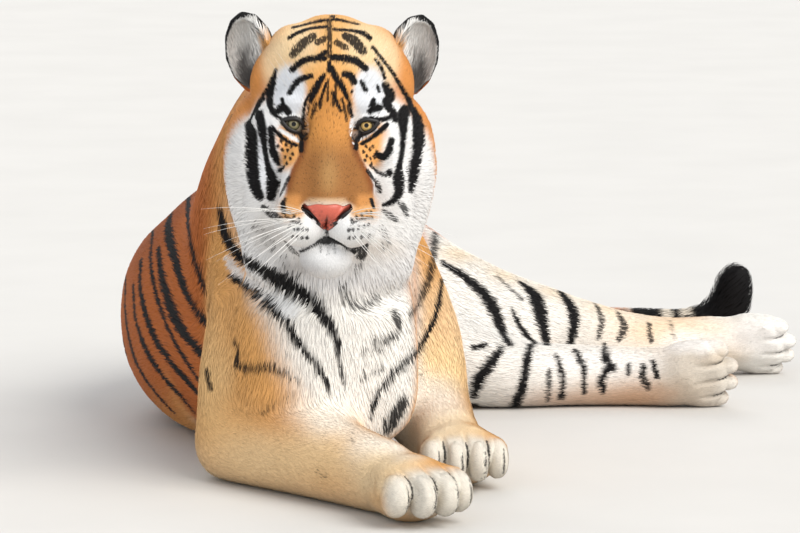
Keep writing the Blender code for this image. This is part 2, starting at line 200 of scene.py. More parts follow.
def reshaped(mesh, change):
    """Let change(shape) work on a mesh as a bmesh."""
    shape = bmesh.new()
    shape.from_mesh(mesh)
    change(shape)
    shape.to_mesh(mesh)
    shape.free()


def set_colours(mesh, colours):
    """Store a colour for each point of a mesh, or one for all."""
    rows = np.ones((len(mesh.vertices), 4), np.float32)
    rows[:, :3] = colours
    mesh.attributes.new("coat", "FLOAT_COLOR", "POINT").data.foreach_set("color", rows.ravel())


def dress(item, material, slot, *replaced):
    """Give a piece its material and the body it rides on, and hide the CAD nodes it replaces; slot is not
    used.
    """
    item.data.materials.clear()
    item.data.materials.append(material)
    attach(item, "root")
    if replaced:
        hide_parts(*replaced)


def add_shape(name, points, faces, colours, material, slot, *replaced, closed=False):
    """A smooth piece made of points and faces; a closed one gets its faces turned outwards."""
    mesh = bpy.data.meshes.new(name)
    mesh.from_pydata(points, [], faces)
    if closed:
        reshaped(mesh, lambda shape: bmesh.ops.recalc_face_normals(shape, faces=shape.faces))
    mesh.shade_smooth()
    set_colours(mesh, colours)
    dress(new_object(name, mesh), material, slot, *replaced)


class Neighbours:
    """Averages over the points that each point of a mesh shares an edge with."""

    def __init__(self, mesh):
        ends = values_of(mesh.edges, "vertices", 2, int)
        self.here = np.concatenate([ends[:, 0], ends[:, 1]])
        self.there = np.concatenate([ends[:, 1], ends[:, 0]])
        self.count = np.maximum(np.bincount(self.here, minlength=len(mesh.vertices)), 1)

    def mean(self, values):
        """The mean of the neighbours' values, for one column or several."""
        if values.ndim == 1:
            return np.bincount(self.here, values[self.there], len(self.count)) / self.count
        return np.stack([self.mean(column) for column in values.T], 1)

    def relaxed(self, values, passes, share=0.5):
        """Values evened out over the mesh; share may differ from point to point."""
        share = np.asarray(share)
        if share.ndim and values.ndim == 2:
            share = share[:, None]
        for _ in range(passes):
            values = values + share * (self.mean(values) - values)
        return values


# The head's own directions: x to the tiger's left, y to the back, z up, from between the eyes.

eye_middles = {side: box_middle("eye_" + side) for side in ("left", "right")}
eye_radius = (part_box("eye_left")[1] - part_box("eye_left")[0]).z / 2
between_eyes = (eye_middles["left"] + eye_middles["right"]) / 2
head_x = unit(eye_middles["left"] - eye_middles["right"])
head_y = np.array((0.0, 1.0, 0.0))
head_z = unit(np.cross(head_x, head_y))
head_axes = np.stack([head_x, head_y, head_z])
head_origin = between_eyes - head_y * FACE_AHEAD


def to_head(places):
    """Places in the head's own directions."""
    return (places - head_origin) @ head_axes.T


def from_head(places):
    """Places given in the head's own directions."""
    return np.asarray(places) @ head_axes + head_origin


def head_away(places, *middle):
    """How far places lie from one given in the head's own directions."""
    return norm(to_head(places) - np.array(middle))


# The camera, and the picture plane: a plane through the head's origin, square to the camera.
# Markings that the camera sees are given on it, in millimetres.

MM = 0.001
camera_place = between_eyes + np.array(CAMERA_OFF)
camera_right = np.array((1.0, 0.0, 0.0))
camera_up = np.array((0.0, math.sin(CAMERA_DIP), math.cos(CAMERA_DIP)))
camera_ahead = np.array((0.0, math.cos(CAMERA_DIP), -math.sin(CAMERA_DIP)))
plane_middle = head_origin
plane_distance = (plane_middle - camera_place) @ camera_ahead


def on_plane(places):
    """Where places lie in the picture plane, in millimetres."""
    off = places - camera_place
    off = off * (plane_distance / (off @ camera_ahead))[:, None] - (plane_middle - camera_place)
    return np.column_stack([off @ camera_right, off @ camera_up]) / MM


def ray_to(across, above):
    """The way from the camera through a point of the picture plane."""
    return unit(plane_middle + (camera_right * across + camera_up * above) * MM - camera_place)


eyes_on_plane = {side: on_plane(centre[None]) for side, centre in eye_middles.items()}


# The face as a field: below 0 inside it. It is the same on both sides, so |x| is used.

def blob(places, centre, radii):
    """About the distance to an ellipsoid."""
    off = places - np.array(centre)
    radii = np.array(radii)
    near = norm(off / radii)
    return near * (near - 1.0) / np.maximum(norm(off / radii ** 2), 1e-9)


def rod(places, start, end, radius, end_radius=None):
    """The distance to a round-ended rod."""
    start, end = np.array(start), np.array(end)
    along = np.clip((places - start) @ (end - start) / ((end - start) @ (end - start)), 0.0, 1.0)
    size = radius + along * ((end_radius or radius) - radius)
    return norm(places - start - along[:, None] * (end - start)) - size


def join(first, second, round_off):
    """Two bodies made one, with the crease between them rounded."""
    share = np.clip(0.5 + 0.5 * (second - first) / round_off, 0.0, 1.0)
    return second * (1 - share) + first * share - round_off * share * (1 - share)


def carve(body, tool, round_off):
    """A body with a tool's room taken out, and its rim rounded."""
    return -join(-body, tool, round_off)


FACE_MASSES = [
    # middle, radii, how softly it joins
    ((0.000, 0.112, 0.048), (0.112, 0.122, 0.116), 0.020),       # cranium
    ((0.000, 0.058, 0.048), (0.080, 0.062, 0.084), 0.030),       # forehead
    ((0.068, 0.092, 0.109), (0.037, 0.050, 0.042), 0.032),       # root of the ear
    ((0.098, 0.082, 0.056), (0.037, 0.038, 0.046), 0.034),       # before the foot of the ear
    ((0.062, 0.038, 0.000), (0.044, 0.042, 0.046), 0.020),       # round the eye
    ((0.052, 0.026, 0.036), (0.034, 0.032, 0.017), 0.014),       # brow
    ((0.000, 0.010, -0.162), (0.078, 0.098, 0.064), 0.022),      # jaw
    ((0.088, 0.062, -0.020), (0.052, 0.060, 0.052), 0.030),      # cheekbone
    ((0.088, 0.072, -0.112), (0.066, 0.080, 0.095), 0.030),      # cheek
    ((0.066, 0.008, -0.042), (0.028, 0.024, 0.020), 0.020),      # below the eye
    ((0.062, 0.080, -0.200), (0.082, 0.080, 0.086), 0.030),      # lower ruff
]
MUZZLE = ((0.034, -0.020, -0.062), (0.041, -0.084, -0.134), 0.038, 0.038)
PAD = ((0.040, -0.088, -0.147), (0.043, 0.048, 0.038))
CHIN = ((0.000, -0.070, -0.204), (0.042, 0.042, 0.034))
THROAT = ((0.0, 0.095, -0.200), (0.0, 0.125, -0.330), 0.092, 0.100)
BRIDGE = ((0.0, 0.014, 0.004), (0.0, -0.086, -0.110), 0.036, 0.031)
BRIDGE_WIDTH = 1.15         # how many times wider than thick the bridge is
EYE_HOLLOW = ((0.043, -0.016, -0.004), (0.010, 0.014, 0.016))       # between the eye and the bridge
MOUTH = [(0.000, -0.134, -0.166), (0.000, -0.130, -0.183), (0.024, -0.126, -0.192), (0.046, -0.106, -0.201),
         (0.066, -0.072, -0.200)]
MOUTH_DEPTH = 0.0035
NOSE_BLOCK = ((0.0, -0.108, -0.121), (0.033, 0.027, 0.021))
FACE_TURN = 0.03            # how far the muzzle swings to the right, for each metre ahead
LID = 0.0022                # thickness of the eyelids
FIELD_STEP = 0.0015
ball_middle = to_head(eye_middles["left"][None])[0]


def face_field(places):
    """The field of the whole face, without its eye openings."""
    across = places[:, 0] - FACE_TURN * places[:, 1]
    places = np.column_stack([np.abs(across), places[:, 1:]])
    field = rod(places, *THROAT)
    for centre, radii, softness in FACE_MASSES:
        field = join(field, blob(places, centre, radii), softness)
    narrow = places * np.array((1 / BRIDGE_WIDTH, 1.0, 1.0))
    field = join(field, rod(narrow, *BRIDGE), 0.014)
    field = join(field, join(rod(places, *MUZZLE), blob(places, *PAD), 0.012), 0.011)
    field = join(field, blob(places, *NOSE_BLOCK), 0.008)
    field = join(field, blob(places, *CHIN), 0.010)
    field = carve(field, blob(places, *EYE_HOLLOW), 0.012)
    for start, end in zip(MOUTH, MOUTH[1:]):
        field = carve(field, rod(places, start, end, MOUTH_DEPTH), 0.006)
    return join(field, norm(places - ball_middle) - eye_radius - LID, 0.006)


def out_of_face(places):
    """The way in which the face's field grows, at each place."""
    out = np.empty_like(places)
    for axis, off in enumerate(np.eye(3) * FIELD_STEP):
        out[:, axis] = face_field(places + off) - face_field(places - off)
    return unit(out)


# The skin.

def whole_flesh():
    """The CAD's flesh, eyeballs and nose joined into one closed mesh."""
    shape = bmesh.new()
    for name in flesh_names:
        part = bmesh.new()
        part.from_mesh(nodes[name].data)
        bmesh.ops.remove_doubles(part, verts=part.verts, dist=1e-6)
        bmesh.ops.recalc_face_normals(part, faces=part.faces)
        part.normal_update()
        moves = [vert.normal * SEAM for vert in part.verts]
        for vert, move in zip(part.verts, moves):
            vert.co += move
        mesh = bpy.data.meshes.new("part")
        part.to_mesh(mesh)
        part.free()
        shape.from_mesh(mesh)
        bpy.data.meshes.remove(mesh)
    mesh = bpy.data.meshes.new("skin")
    shape.to_mesh(mesh)
    shape.free()
    item = new_object("skin", mesh)
    remeshed(item, GRAIN)
    return item


def refine(mesh, chosen):
    """Split the edges of the faces whose middle is chosen(places)."""
    def split(shape):
        pick = chosen(np.array([face.calc_center_median() for face in shape.faces]))
        edges = {edge for face, keep in zip(shape.faces, pick) if keep for edge in face.edges}
        bmesh.ops.subdivide_edges(shape, edges=list(edges), cuts=1, use_grid_fill=True)
    reshaped(mesh, split)


def face_share(places):
    """How far the face's own field rules a place in the head: 1 on the face, 0 on the ruff and neck."""
    return (fall(places[:, 1], 0.06, 0.15) * smooth_step(places[:, 2], -0.310, -0.240)
            * fall(np.abs(places[:, 0]), 0.105, 0.140) * fall(places[:, 2], 0.13, 0.17))


def toe_places():
    """For each paw: its middle, the way it points, the way its toes are ranged, and the claws' middles."""
    out = []
    for name in ("forepaw_left", "forepaw_right", "hindpaw_left", "hindpaw_right"):
        middle = box_middle(name)
        claws = np.array([box_middle(f"claw_{name}_{index}") for index in range(1, 5)])
        ahead = unit(claws.mean(0) - middle)
        across = claws[3] - claws[0]
        across = unit(across - ahead * (across @ ahead))
        up = np.cross(ahead, across)
        out.append((middle, ahead, across, up * np.sign(up[2] or 1.0), claws))
    return out


paws = toe_places()


def toe_gap(claws):
    """The gap between two claws of a paw."""
    return np.linalg.norm(claws[3] - claws[0]) / 3


def part_toes(places, normals):
    """Swell the toes over the claws' roots, and press the grooves between them into a paw."""
    for number, (middle, ahead, across, up, claws) in enumerate(paws):
        axes = np.stack([across, ahead, up])
        *radii, behind, below = np.array(FORE_TOE if number < 2 else HIND_TOE) * toe_gap(claws)
        radii = np.array(radii)
        near = np.flatnonzero(norm(places - claws.mean(0)) < TOE_REACH)
        for claw in claws:
            local = (places[near] - claw + ahead * behind + up * below) @ axes.T
            inner = -np.minimum(blob(local, (0, 0, 0), radii), 0.0)
            out = unit(local / radii ** 2) @ axes
            places[near] += out * inner[:, None]
        near = np.flatnonzero(norm(places - middle) < PAW_REACH)
        forward = (places[near] - middle) @ ahead
        reach = (claws.mean(0) - middle) @ ahead
        for one, two in zip(claws, claws[1:]):
            aside = (places[near] - (one + two) / 2) @ across
            depth = TOE_GROOVE * np.exp(-(aside / TOE_GROOVE_WIDTH) ** 2)
            depth = depth * smooth_step(forward, 0.15 * reach, 0.8 * reach)
            places[near] -= normals[near] * depth[:, None]
    places[:, 2] = np.maximum(places[:, 2], FLOOR_LIFT)
    return places


def make_skin():
    """The whole skin: smooth, drawn in by the depth of the coat, with its face and toes."""
    item = whole_flesh()
    mesh = item.data
    around = Neighbours(mesh)
    places = places_of(mesh)
    paw_away = np.min([norm(places - middle) for middle, *_ in paws], axis=0)
    share = 0.5 * smooth_step(paw_away, 0.06, 0.16)
    share = share * smooth_step(head_away(places, 0, 0, -0.05), 0.12, 0.26) + 0.05
    places = around.relaxed(places, SKIN_PASSES, share)
    move_points(mesh, places)
    lie = Lie(places, normals_of(mesh), around)
    draw = lie.length * lie.height * COAT_DRAW
    draw -= TAIL_MORE * label_share(lie.label, ("tail_middle", "tail_tip"))
    drawn = places - normals_of(mesh) * around.relaxed(draw, 8)[:, None]
    drawn = around.relaxed(drawn, 2)
    resting = np.minimum(drawn[:, 2], places[:, 2] + FLOOR_LIFT)
    drawn[:, 2] = np.maximum(np.where(places[:, 2] < FLOOR_REACH, resting, drawn[:, 2]), FLOOR_LIFT)
    move_points(mesh, drawn)
    refine(mesh, lambda middles: head_away(middles, 0, 0, -0.04) < HEAD_FINE)
    refine(mesh, lambda middles: face_share(to_head(middles)) > 0.5)
    for reach in PAW_FINE:
        refine(mesh, lambda middles: np.min([norm(middles - middle - ahead * PAW_AHEAD)
                                             for middle, ahead, *_ in paws], axis=0) < reach)
    around = Neighbours(mesh)
    local = to_head(places_of(mesh))
    chosen = np.flatnonzero(face_share(local) > 0.002)
    for turn in range(FACE_PASSES):
        part = local[chosen]
        pull = face_share(part) * FACE_PULL
        part = part - out_of_face(part) * (face_field(part) * pull)[:, None]
        local[chosen] = part
        if turn < FACE_PASSES - 2:
            even = np.zeros(len(local))
            even[chosen] = FACE_EVEN * face_share(part)
            local = around.relaxed(local, 1, even)
    move_points(mesh, from_head(local))
    move_points(mesh, part_toes(places_of(mesh), normals_of(mesh)))
    mesh.shade_smooth()
    return item


# The lie of the coat. A chain runs through the middles of the nodes and of the cuts between them.

CHAINS = {
    "body": ["head", "neck", "chest", "trunk", "hips", "tail_base", "tail_middle", "tail_tip"],
    "foreleg_right": ["chest", "foreleg_right", "forearm_right", "forepaw_right"],
    "foreleg_left": ["chest", "foreleg_left", "forearm_left", "forepaw_left"],
    "hindleg_right": ["hips", "thigh_right", "shank_right", "hindpaw_right"],
    "hindleg_left": ["hips", "thigh_left", "shank_left", "hindpaw_left"],
}
CUT_REACH = 0.004           # points of two nodes within this of each other lie on the cut between them
CHAIN_STEP = 0.006


def solid_middle(name):
    """The middle of a node's surface."""
    faces = nodes[name].data.polygons
    sizes = np.array([face.area for face in faces])
    middles = np.array([face.center for face in faces])
    return (middles * sizes[:, None]).sum(0) / sizes.sum()


def cut_middle(first, second):
    """The middle of the cut between two nodes."""
    tree = face_tree(nodes[second].data)
    corners = [vert.co for vert in nodes[first].data.vertices]
    places = np.array([place for place in corners if tree.find_nearest(place, CUT_REACH)[0]])
    return (places.min(0) + places.max(0)) / 2


def smooth_line(points, step):
    """Places every step along a smooth curve through the points."""
    points = np.asarray(points, float)
    rows = np.vstack([2 * points[0] - points[1], points, 2 * points[-1] - points[-2]])
    out = []
    for a, b, c, d in zip(rows, rows[1:], rows[2:], rows[3:]):
        count = max(int(np.linalg.norm(c - b) / step), 1)
        for t in np.arange(count) / count:
            out.append(0.5 * (2 * b + (c - a) * t + (2 * a - 5 * b + 4 * c - d) * t ** 2
                              + (3 * b - a - 3 * c + d) * t ** 3))
    out.append(points[-1])
    return np.array(out)


def smooth_loop(points, step):
    """Places every step along a smooth closed curve through the points."""
    points = np.array(points, float)
    return smooth_line(np.vstack([points, points[:1]]), step)[:-1]


def make_chain(names):
    """The smooth line of a chain of nodes, and the way it runs."""
    points = [solid_middle(names[0])]
    for first, second in zip(names, names[1:]):
        points.append(cut_middle(first, second))
        points.append(solid_middle(second))
    points.append(2 * points[-1] - points[-2])
    line = smooth_line(points, CHAIN_STEP)
    return line, unit(np.gradient(line, axis=0))


chains = {name: make_chain(names) for name, names in CHAINS.items()}


# What each part of the skin is covered with: hair length, share of that length that the coat
# stands off the skin, and the way the belly side faces.

COAT = {
    "neck": (0.030, 0.055, (0.0, -0.5, -0.9)),
    "chest": (0.030, 0.050, (0.0, -0.4, -0.9)),
    "trunk": (0.022, 0.08, (0.35, -0.2, -0.9)),
    "hips": (0.022, 0.08, (0.75, -0.65, -0.1)),
    "foreleg": (0.017, 0.10, (0.2, -0.3, -0.3)),
    "forearm": (0.012, 0.10, (0.2, 0.2, -0.9)),
    "forepaw": (0.008, 0.10, (0.0, 0.2, -1.0)),
    "thigh_right": (0.017, 0.09, (0.0, -0.7, 0.6)),
    "thigh_left": (0.017, 0.09, (0.0, -0.8, -0.5)),
    "shank_right": (0.013, 0.09, (0.0, -0.7, 0.6)),
    "shank_left": (0.013, 0.09, (0.0, -0.8, -0.5)),
    "hindpaw": (0.008, 0.10, (0.0, -0.7, 0.2)),
    "tail_tip": (0.028, 0.35, (0.0, -0.4, -0.9)),
    "tail": (0.020, 0.20, (0.0, -0.4, -0.9)),
    HEAD_PARTS: (0.020, 0.08, (0.0, -0.6, -0.8)),
}


def coat_of(name):
    """The coat of a node, looked up by the start of its name."""
    return next(value for key, value in COAT.items() if name.startswith(key))


class Labels:
    """Which CAD node lies nearest to a place on the skin."""

    def __init__(self):
        corners, faces, self.owner = [], [], []
        for index, name in enumerate(flesh_names):
            mesh = nodes[name].data
            faces += [tuple(len(corners) + corner for corner in face.vertices) for face in mesh.polygons]
            self.owner += [index] * len(mesh.polygons)
            corners += [vert.co for vert in mesh.vertices]
        self.tree = BVHTree.FromPolygons(corners, faces)

    def of(self, places):
        """The index in flesh_names of the node nearest to each place."""
        return np.array([self.owner[self.tree.find_nearest(Vector(place))[2]] for place in places])


labels = Labels()


def label_share(labels_here, start):
    """1 where the nearest node's name starts so."""
    return np.array([name.startswith(start) for name in flesh_names], float)[labels_here]


def head_hair_length(local):
    """The coat's length on the head: shortest round the nose, longest on the ruff and throat."""
    aside, back, above = np.abs(local[:, 0]), local[:, 1], local[:, 2]
    from_nose = norm(local - np.array((0.0, -0.12, -0.12)))
    short = 0.0045 + 0.0055 * smooth_step(from_nose, 0.05, 0.22) + 0.006 * smooth_step(back, 0.10, 0.25)
    low_side = smooth_step(0.9 * aside + 0.55 * back - 0.35 * above, 0.125, 0.22) * fall(above, -0.02, 0.08)
    return short + 0.022 * np.maximum(low_side, smooth_step(-above, 0.200, 0.255))


def head_hair_way(local):
    """The way the coat lies on the head: away from a place before the nose, sinking towards the ruff."""
    away = local - np.array((0.0, -0.135, -0.110))
    away[:, 2] -= 0.10 * smooth_step(-local[:, 2], 0.02, 0.20)
    away[:, 1] += 0.06
    return unit(away) @ head_axes


def nearest_on(line, places):
    """The index of the line's step nearest to each place."""
    tree = point_tree(line)
    return np.array([tree.find(place)[1] for place in places])


def chain_of(name):
    """The chain that the hair on a node follows."""
    for key, names in CHAINS.items():
        if key != "body" and name in names[1:]:
            return key
    return "body"


LIE_PASSES = 12             # how often the coat's length and height are evened out over the skin
WAY_PASSES = 24             # its direction
BELLY_PASSES = 60           # and the way the belly side faces


class Lie:
    """What the coat does at each point of the skin: its length, height, direction and belly side."""

    def __init__(self, places, normals, around):
        self.label = labels.of(places)
        local = to_head(places)
        length, height = np.zeros(len(places)), np.zeros(len(places))
        way, belly = np.zeros((len(places), 3)), np.zeros((len(places), 3))
        for index, name in enumerate(flesh_names):
            here = np.flatnonzero(self.label == index)
            if not len(here):
                continue
            size, share, below = coat_of(name)
            length[here], height[here], belly[here] = size, share, unit(np.array(below))
            line, runs = chains[chain_of(name)]
            way[here] = runs[nearest_on(line, places[here])]
            if name.startswith(HEAD_PARTS):
                length[here], way[here] = head_hair_length(local[here]), head_hair_way(local[here])
        self.length = around.relaxed(length, LIE_PASSES)
        self.height = around.relaxed(height, LIE_PASSES)
        self.belly = unit(around.relaxed(belly, BELLY_PASSES))
        way = around.relaxed(way, WAY_PASSES)
        self.way = unit(way - normals * (way * normals).sum(1)[:, None])


# Markings that the camera sees, and a few painted shadows, as strokes in the picture plane: how
# strong a mark is, then its points, each with the half width there, in millimetres.

FACE_STROKES = [
    # forehead: middle line, arcs and bars
    (1, (4, 182, 3), (4, 171, 3)), (1, (-3, 170, 2), (-23, 167, 2), (-42, 162, 2), (-59, 158, 2)),
    (1, (11, 171, 2), (30, 167, 2), (45, 163, 2)),
    (1, (-6, 159, 2), (-32, 156, 2), (-52, 149, 2), (-66, 141, 2)),
    (1, (6, 155, 2), (30, 153, 2), (50, 150, 3), (64, 141, 3)),
    (0.85, (-1, 165, 3), (-1, 147, 3), (-1, 112, 3)), (0.8, (-3, 74, 1.2), (-4, 40, 1.2)),
    (0.8, (9, 66, 1.2), (10, 34, 1.2)), (0.8, (-24, 38, 1.3), (-30, 12, 1.3)),
    (0.8, (22, 36, 1.3), (27, 8, 1.3)), (0.8, (-8, 140, 4), (-20, 134, 4)),
    (0.85, (-27, 143, 5), (-42, 133, 6), (-54, 121, 6), (-61, 114, 4)),
    (0.8, (11, 133, 4), (25, 126, 4)), (0.9, (25, 144, 5), (40, 135, 7), (52, 121, 6)),
    (1, (-8, 108, 3), (-30, 108, 4), (-47, 102, 4), (-61, 90, 4)), (1, (-8, 118, 3), (-18, 111, 3)),
    (1, (4, 110, 4), (25, 108, 5), (42, 104, 5), (57, 92, 4)),
    (1, (-30, 80, 3), (-44, 76, 4), (-56, 68, 4), (-65, 53, 3)),
    (1, (23, 83, 4), (33, 80, 5), (39, 70, 4)), (1, (51, 70, 3), (57, 58, 3)),
    (1, (77, 63, 2), (79, 56, 2)), (1, (35, 56, 1.5), (35, 54, 1.5)), (1, (-1, 102, 2.5), (-2, 87, 2)),
    (0.11, (-3, 22, 26), (-3, -10, 32), (0, -50, 44), (1, -84, 48)),
    # the two limbs that run down to the eyes' inner corners
    (1, (-9, 82, 2.5), (-18, 69, 4.5), (-26, 53, 4.5), (-31, 40, 2.5)),
    (1, (-31, 56, 1.2), (-40, 36, 1.5), (-43, 14, 1.6), (-42, -2, 1.5)),
    (0.9, (-22, 38, 1), (-25, 22, 1)), (0.8, (-34, 36, 1), (-36, 18, 1)),
    (0.8, (-14, 40, 1), (-16, 28, 1)), (0.8, (4, 44, 1), (6, 30, 1)),
    (1, (-6, 68, 1.5), (-13, 48, 1.5), (-18, 34, 1.2)),
    (1, (3, 94, 2.5), (8, 80, 4.5), (18, 66, 4.5), (26, 50, 3)),
    (1, (26, 50, 2.5), (32, 34, 1.8), (36, 14, 1.4)), (0.9, (19, 44, 1), (24, 28, 1)),
    (0.8, (28, 32, 1), (31, 18, 1)), (1, (4, 53, 2), (13, 34, 2), (18, 24, 1.5)),
    # over the eyes
    (1, (-77, 43, 2), (-75, 34, 2)), (1, (-84, 24, 5), (-76, 30, 5), (-68, 22, 5)),
    (1, (70, 41, 3), (69, 29, 5), (79, 29, 5)), (1, (64, 24, 3), (65, 22, 3)),
    (1, (-80, 12, 2), (-91, 20, 3), (-96, 34, 4), (-97, 50, 5), (-93, 68, 4.5), (-89, 82, 2)),
    (1, (89, 65, 5), (97, 48, 7), (91, 36, 6), (103, 19, 5)), (1, (103, 19, 5), (105, 10, 4)),
    (1, (67, 12, 3), (86, 10, 3), (100, 17, 3)),
    # cheek bars
    (1, (-114, 19, 6), (-109, -7, 6), (-105, -36, 3.5), (-101, -60, 3.5), (-94, -83, 7), (-93, -99, 8),
     (-95, -114, 6)),
    (1, (-87, 89, 2), (-102, 58, 2), (-119, 29, 2.5), (-131, 3, 3)),
    (1, (-131, 3, 5), (-126, -17, 8), (-126, -56, 9), (-121, -95, 8), (-113, -114, 6)),
    (1, (-107, 44, 2), (-122, 19, 2)), (1, (-95, -5, 4), (-93, -36, 5), (-87, -52, 5), (-83, -61, 3)),
    (1, (-82, -73, 2.5), (-74, -67, 2.5)), (1, (-84, -93, 4), (-84, -95, 4)),
    (1, (-93, -2, 2), (-88, -9, 2.4), (-72, -22, 2.4), (-54, -32, 2)),
    (1, (-45.5, -17, 3), (-46.5, -40, 3)), (0.8, (-66, -83, 2), (-80, -112, 2)),
    (0.8, (-72, -118, 2), (-77, -134, 2)), (1, (42, -15, 3), (42, -36, 3)),
    (1, (91, 1, 3.5), (80, -9, 3), (66, -20, 2.5), (50, -30, 2)),
    (1, (99, -24, 4), (94, -42, 5), (86, -50, 5), (76, -46, 4)),
    (0.9, (65, -64, 2), (78, -75, 2), (90, -80, 2)),
    (0.9, (61, -73, 2.5), (76, -95, 2.5), (81, -106, 2.5)),
    (1, (121, 24, 8), (117, 13, 8), (118, -7, 5), (116, -40, 3), (111, -67, 4), (110, -85, 8),
     (111, -106, 6), (100, -122, 4), (86, -128, 2)),
    (1, (96, -74, 4), (96, -77, 4)),
    (1, (129, 30, 5), (138, 7, 7), (141, -36, 7), (135, -75, 7), (131, -104, 4)),
    (1, (69, 126, 1.5), (98, 89, 2), (120, 53, 3), (136, 24, 5), (144, 3, 7), (146, -26, 7)),
    (1, (74, 106, 2), (83, 92, 2), (88, 77, 2)),
    # muzzle: rows of whisker spots, tops of the pads, lips, and painted shade behind the jaws and beside the
    # chin
    (0.7, (-72, -146, 1.5), (-60, -153, 1.5), (-48, -158, 1.5)),
    (0.7, (36, -156, 1.5), (52, -150, 1.5), (68, -148, 1.5)), (1, (-76, -124, 3), (-74, -139, 3)),
    (1, (67, -120, 3), (70, -130, 3)), (0.55, (-70, -188, 4), (-62, -198, 7), (-52, -207, 5)),
    (0.9, (40, -197, 5), (53, -195, 8), (50, -208, 7)),
    (0.8, (-108, -131, 3), (-94, -142, 5), (-80, -150, 4)),
    (0.7, (88, -138, 3), (98, -146, 4), (106, -152, 3)),
    (0.7, (112, -124, 3), (120, -134, 4), (124, -146, 2)),
    # the faint strokes on this line and the next: painted shade behind the jaws
    (0.3, (-122, -160, 5), (-108, -176, 6), (-92, -198, 5)),
    (0.3, (84, -166, 5), (92, -182, 6), (84, -200, 5)),
    (1, (-7, -178, 1.2), (-13, -184, 1.2), (-29, -194, 1.3), (-48, -203, 1.6)),
    (1, (-5, -178, 1.2), (10, -186, 1.6), (40, -204, 2.4)),
    (0.95, (-22, -190, 2), (-12, -186, 4), (2, -186, 4), (14, -189, 2)),
    # the faint strokes of strength 0.3 on this line and the next: painted shadow down the sides of the chin
    (1, (-5, -166, 1.4), (-5, -178, 1.4)), (0.3, (-74, -212, 4), (-68, -232, 5), (-54, -250, 4)),
    (0.3, (50, -214, 4), (44, -236, 5), (30, -252, 4)), (0.4, (-16, -196, 1.5), (-15, -203, 1.5)),
    (0.4, (-2, -196, 1.5), (-3, -206, 1.5)), (0.4, (7, -195, 1.5), (8, -204, 1.5)),
]
# Dots of the face, each a short stroke: their places, half width, the way they run, and strength.
DOTS = [
    # spots under the eyes
    ([(-79, -24), (-71, -30), (-77, -38), (-68, -39), (-84, -32), (-62, -33), (-72, -50), (-64, -52),
      (-70, -60), (-60, -45), (58, -33), (64, -37), (54, -41), (69, -33), (59, -48), (65, -52), (56, -55),
      (71, -50), (75, -41), (67, -60)], 1.5, (0.5, -1.5), 0.95),
    # rows of whisker spots
    ([(-66, -139), (-58, -145), (-50, -150), (-66, -161), (-58, -165), (-51, -167), (-44, -167), (-37, -167),
      (-60, -178), (-52, -179), (-45, -180), (-37, -180), (35, -151), (43, -147), (51, -143), (59, -139),
      (66, -139), (30, -168), (37, -167), (46, -164), (55, -162), (62, -159), (31, -180), (39, -180),
      (51, -179), (63, -177)], 1.7, (0, -1), 0.8),
]

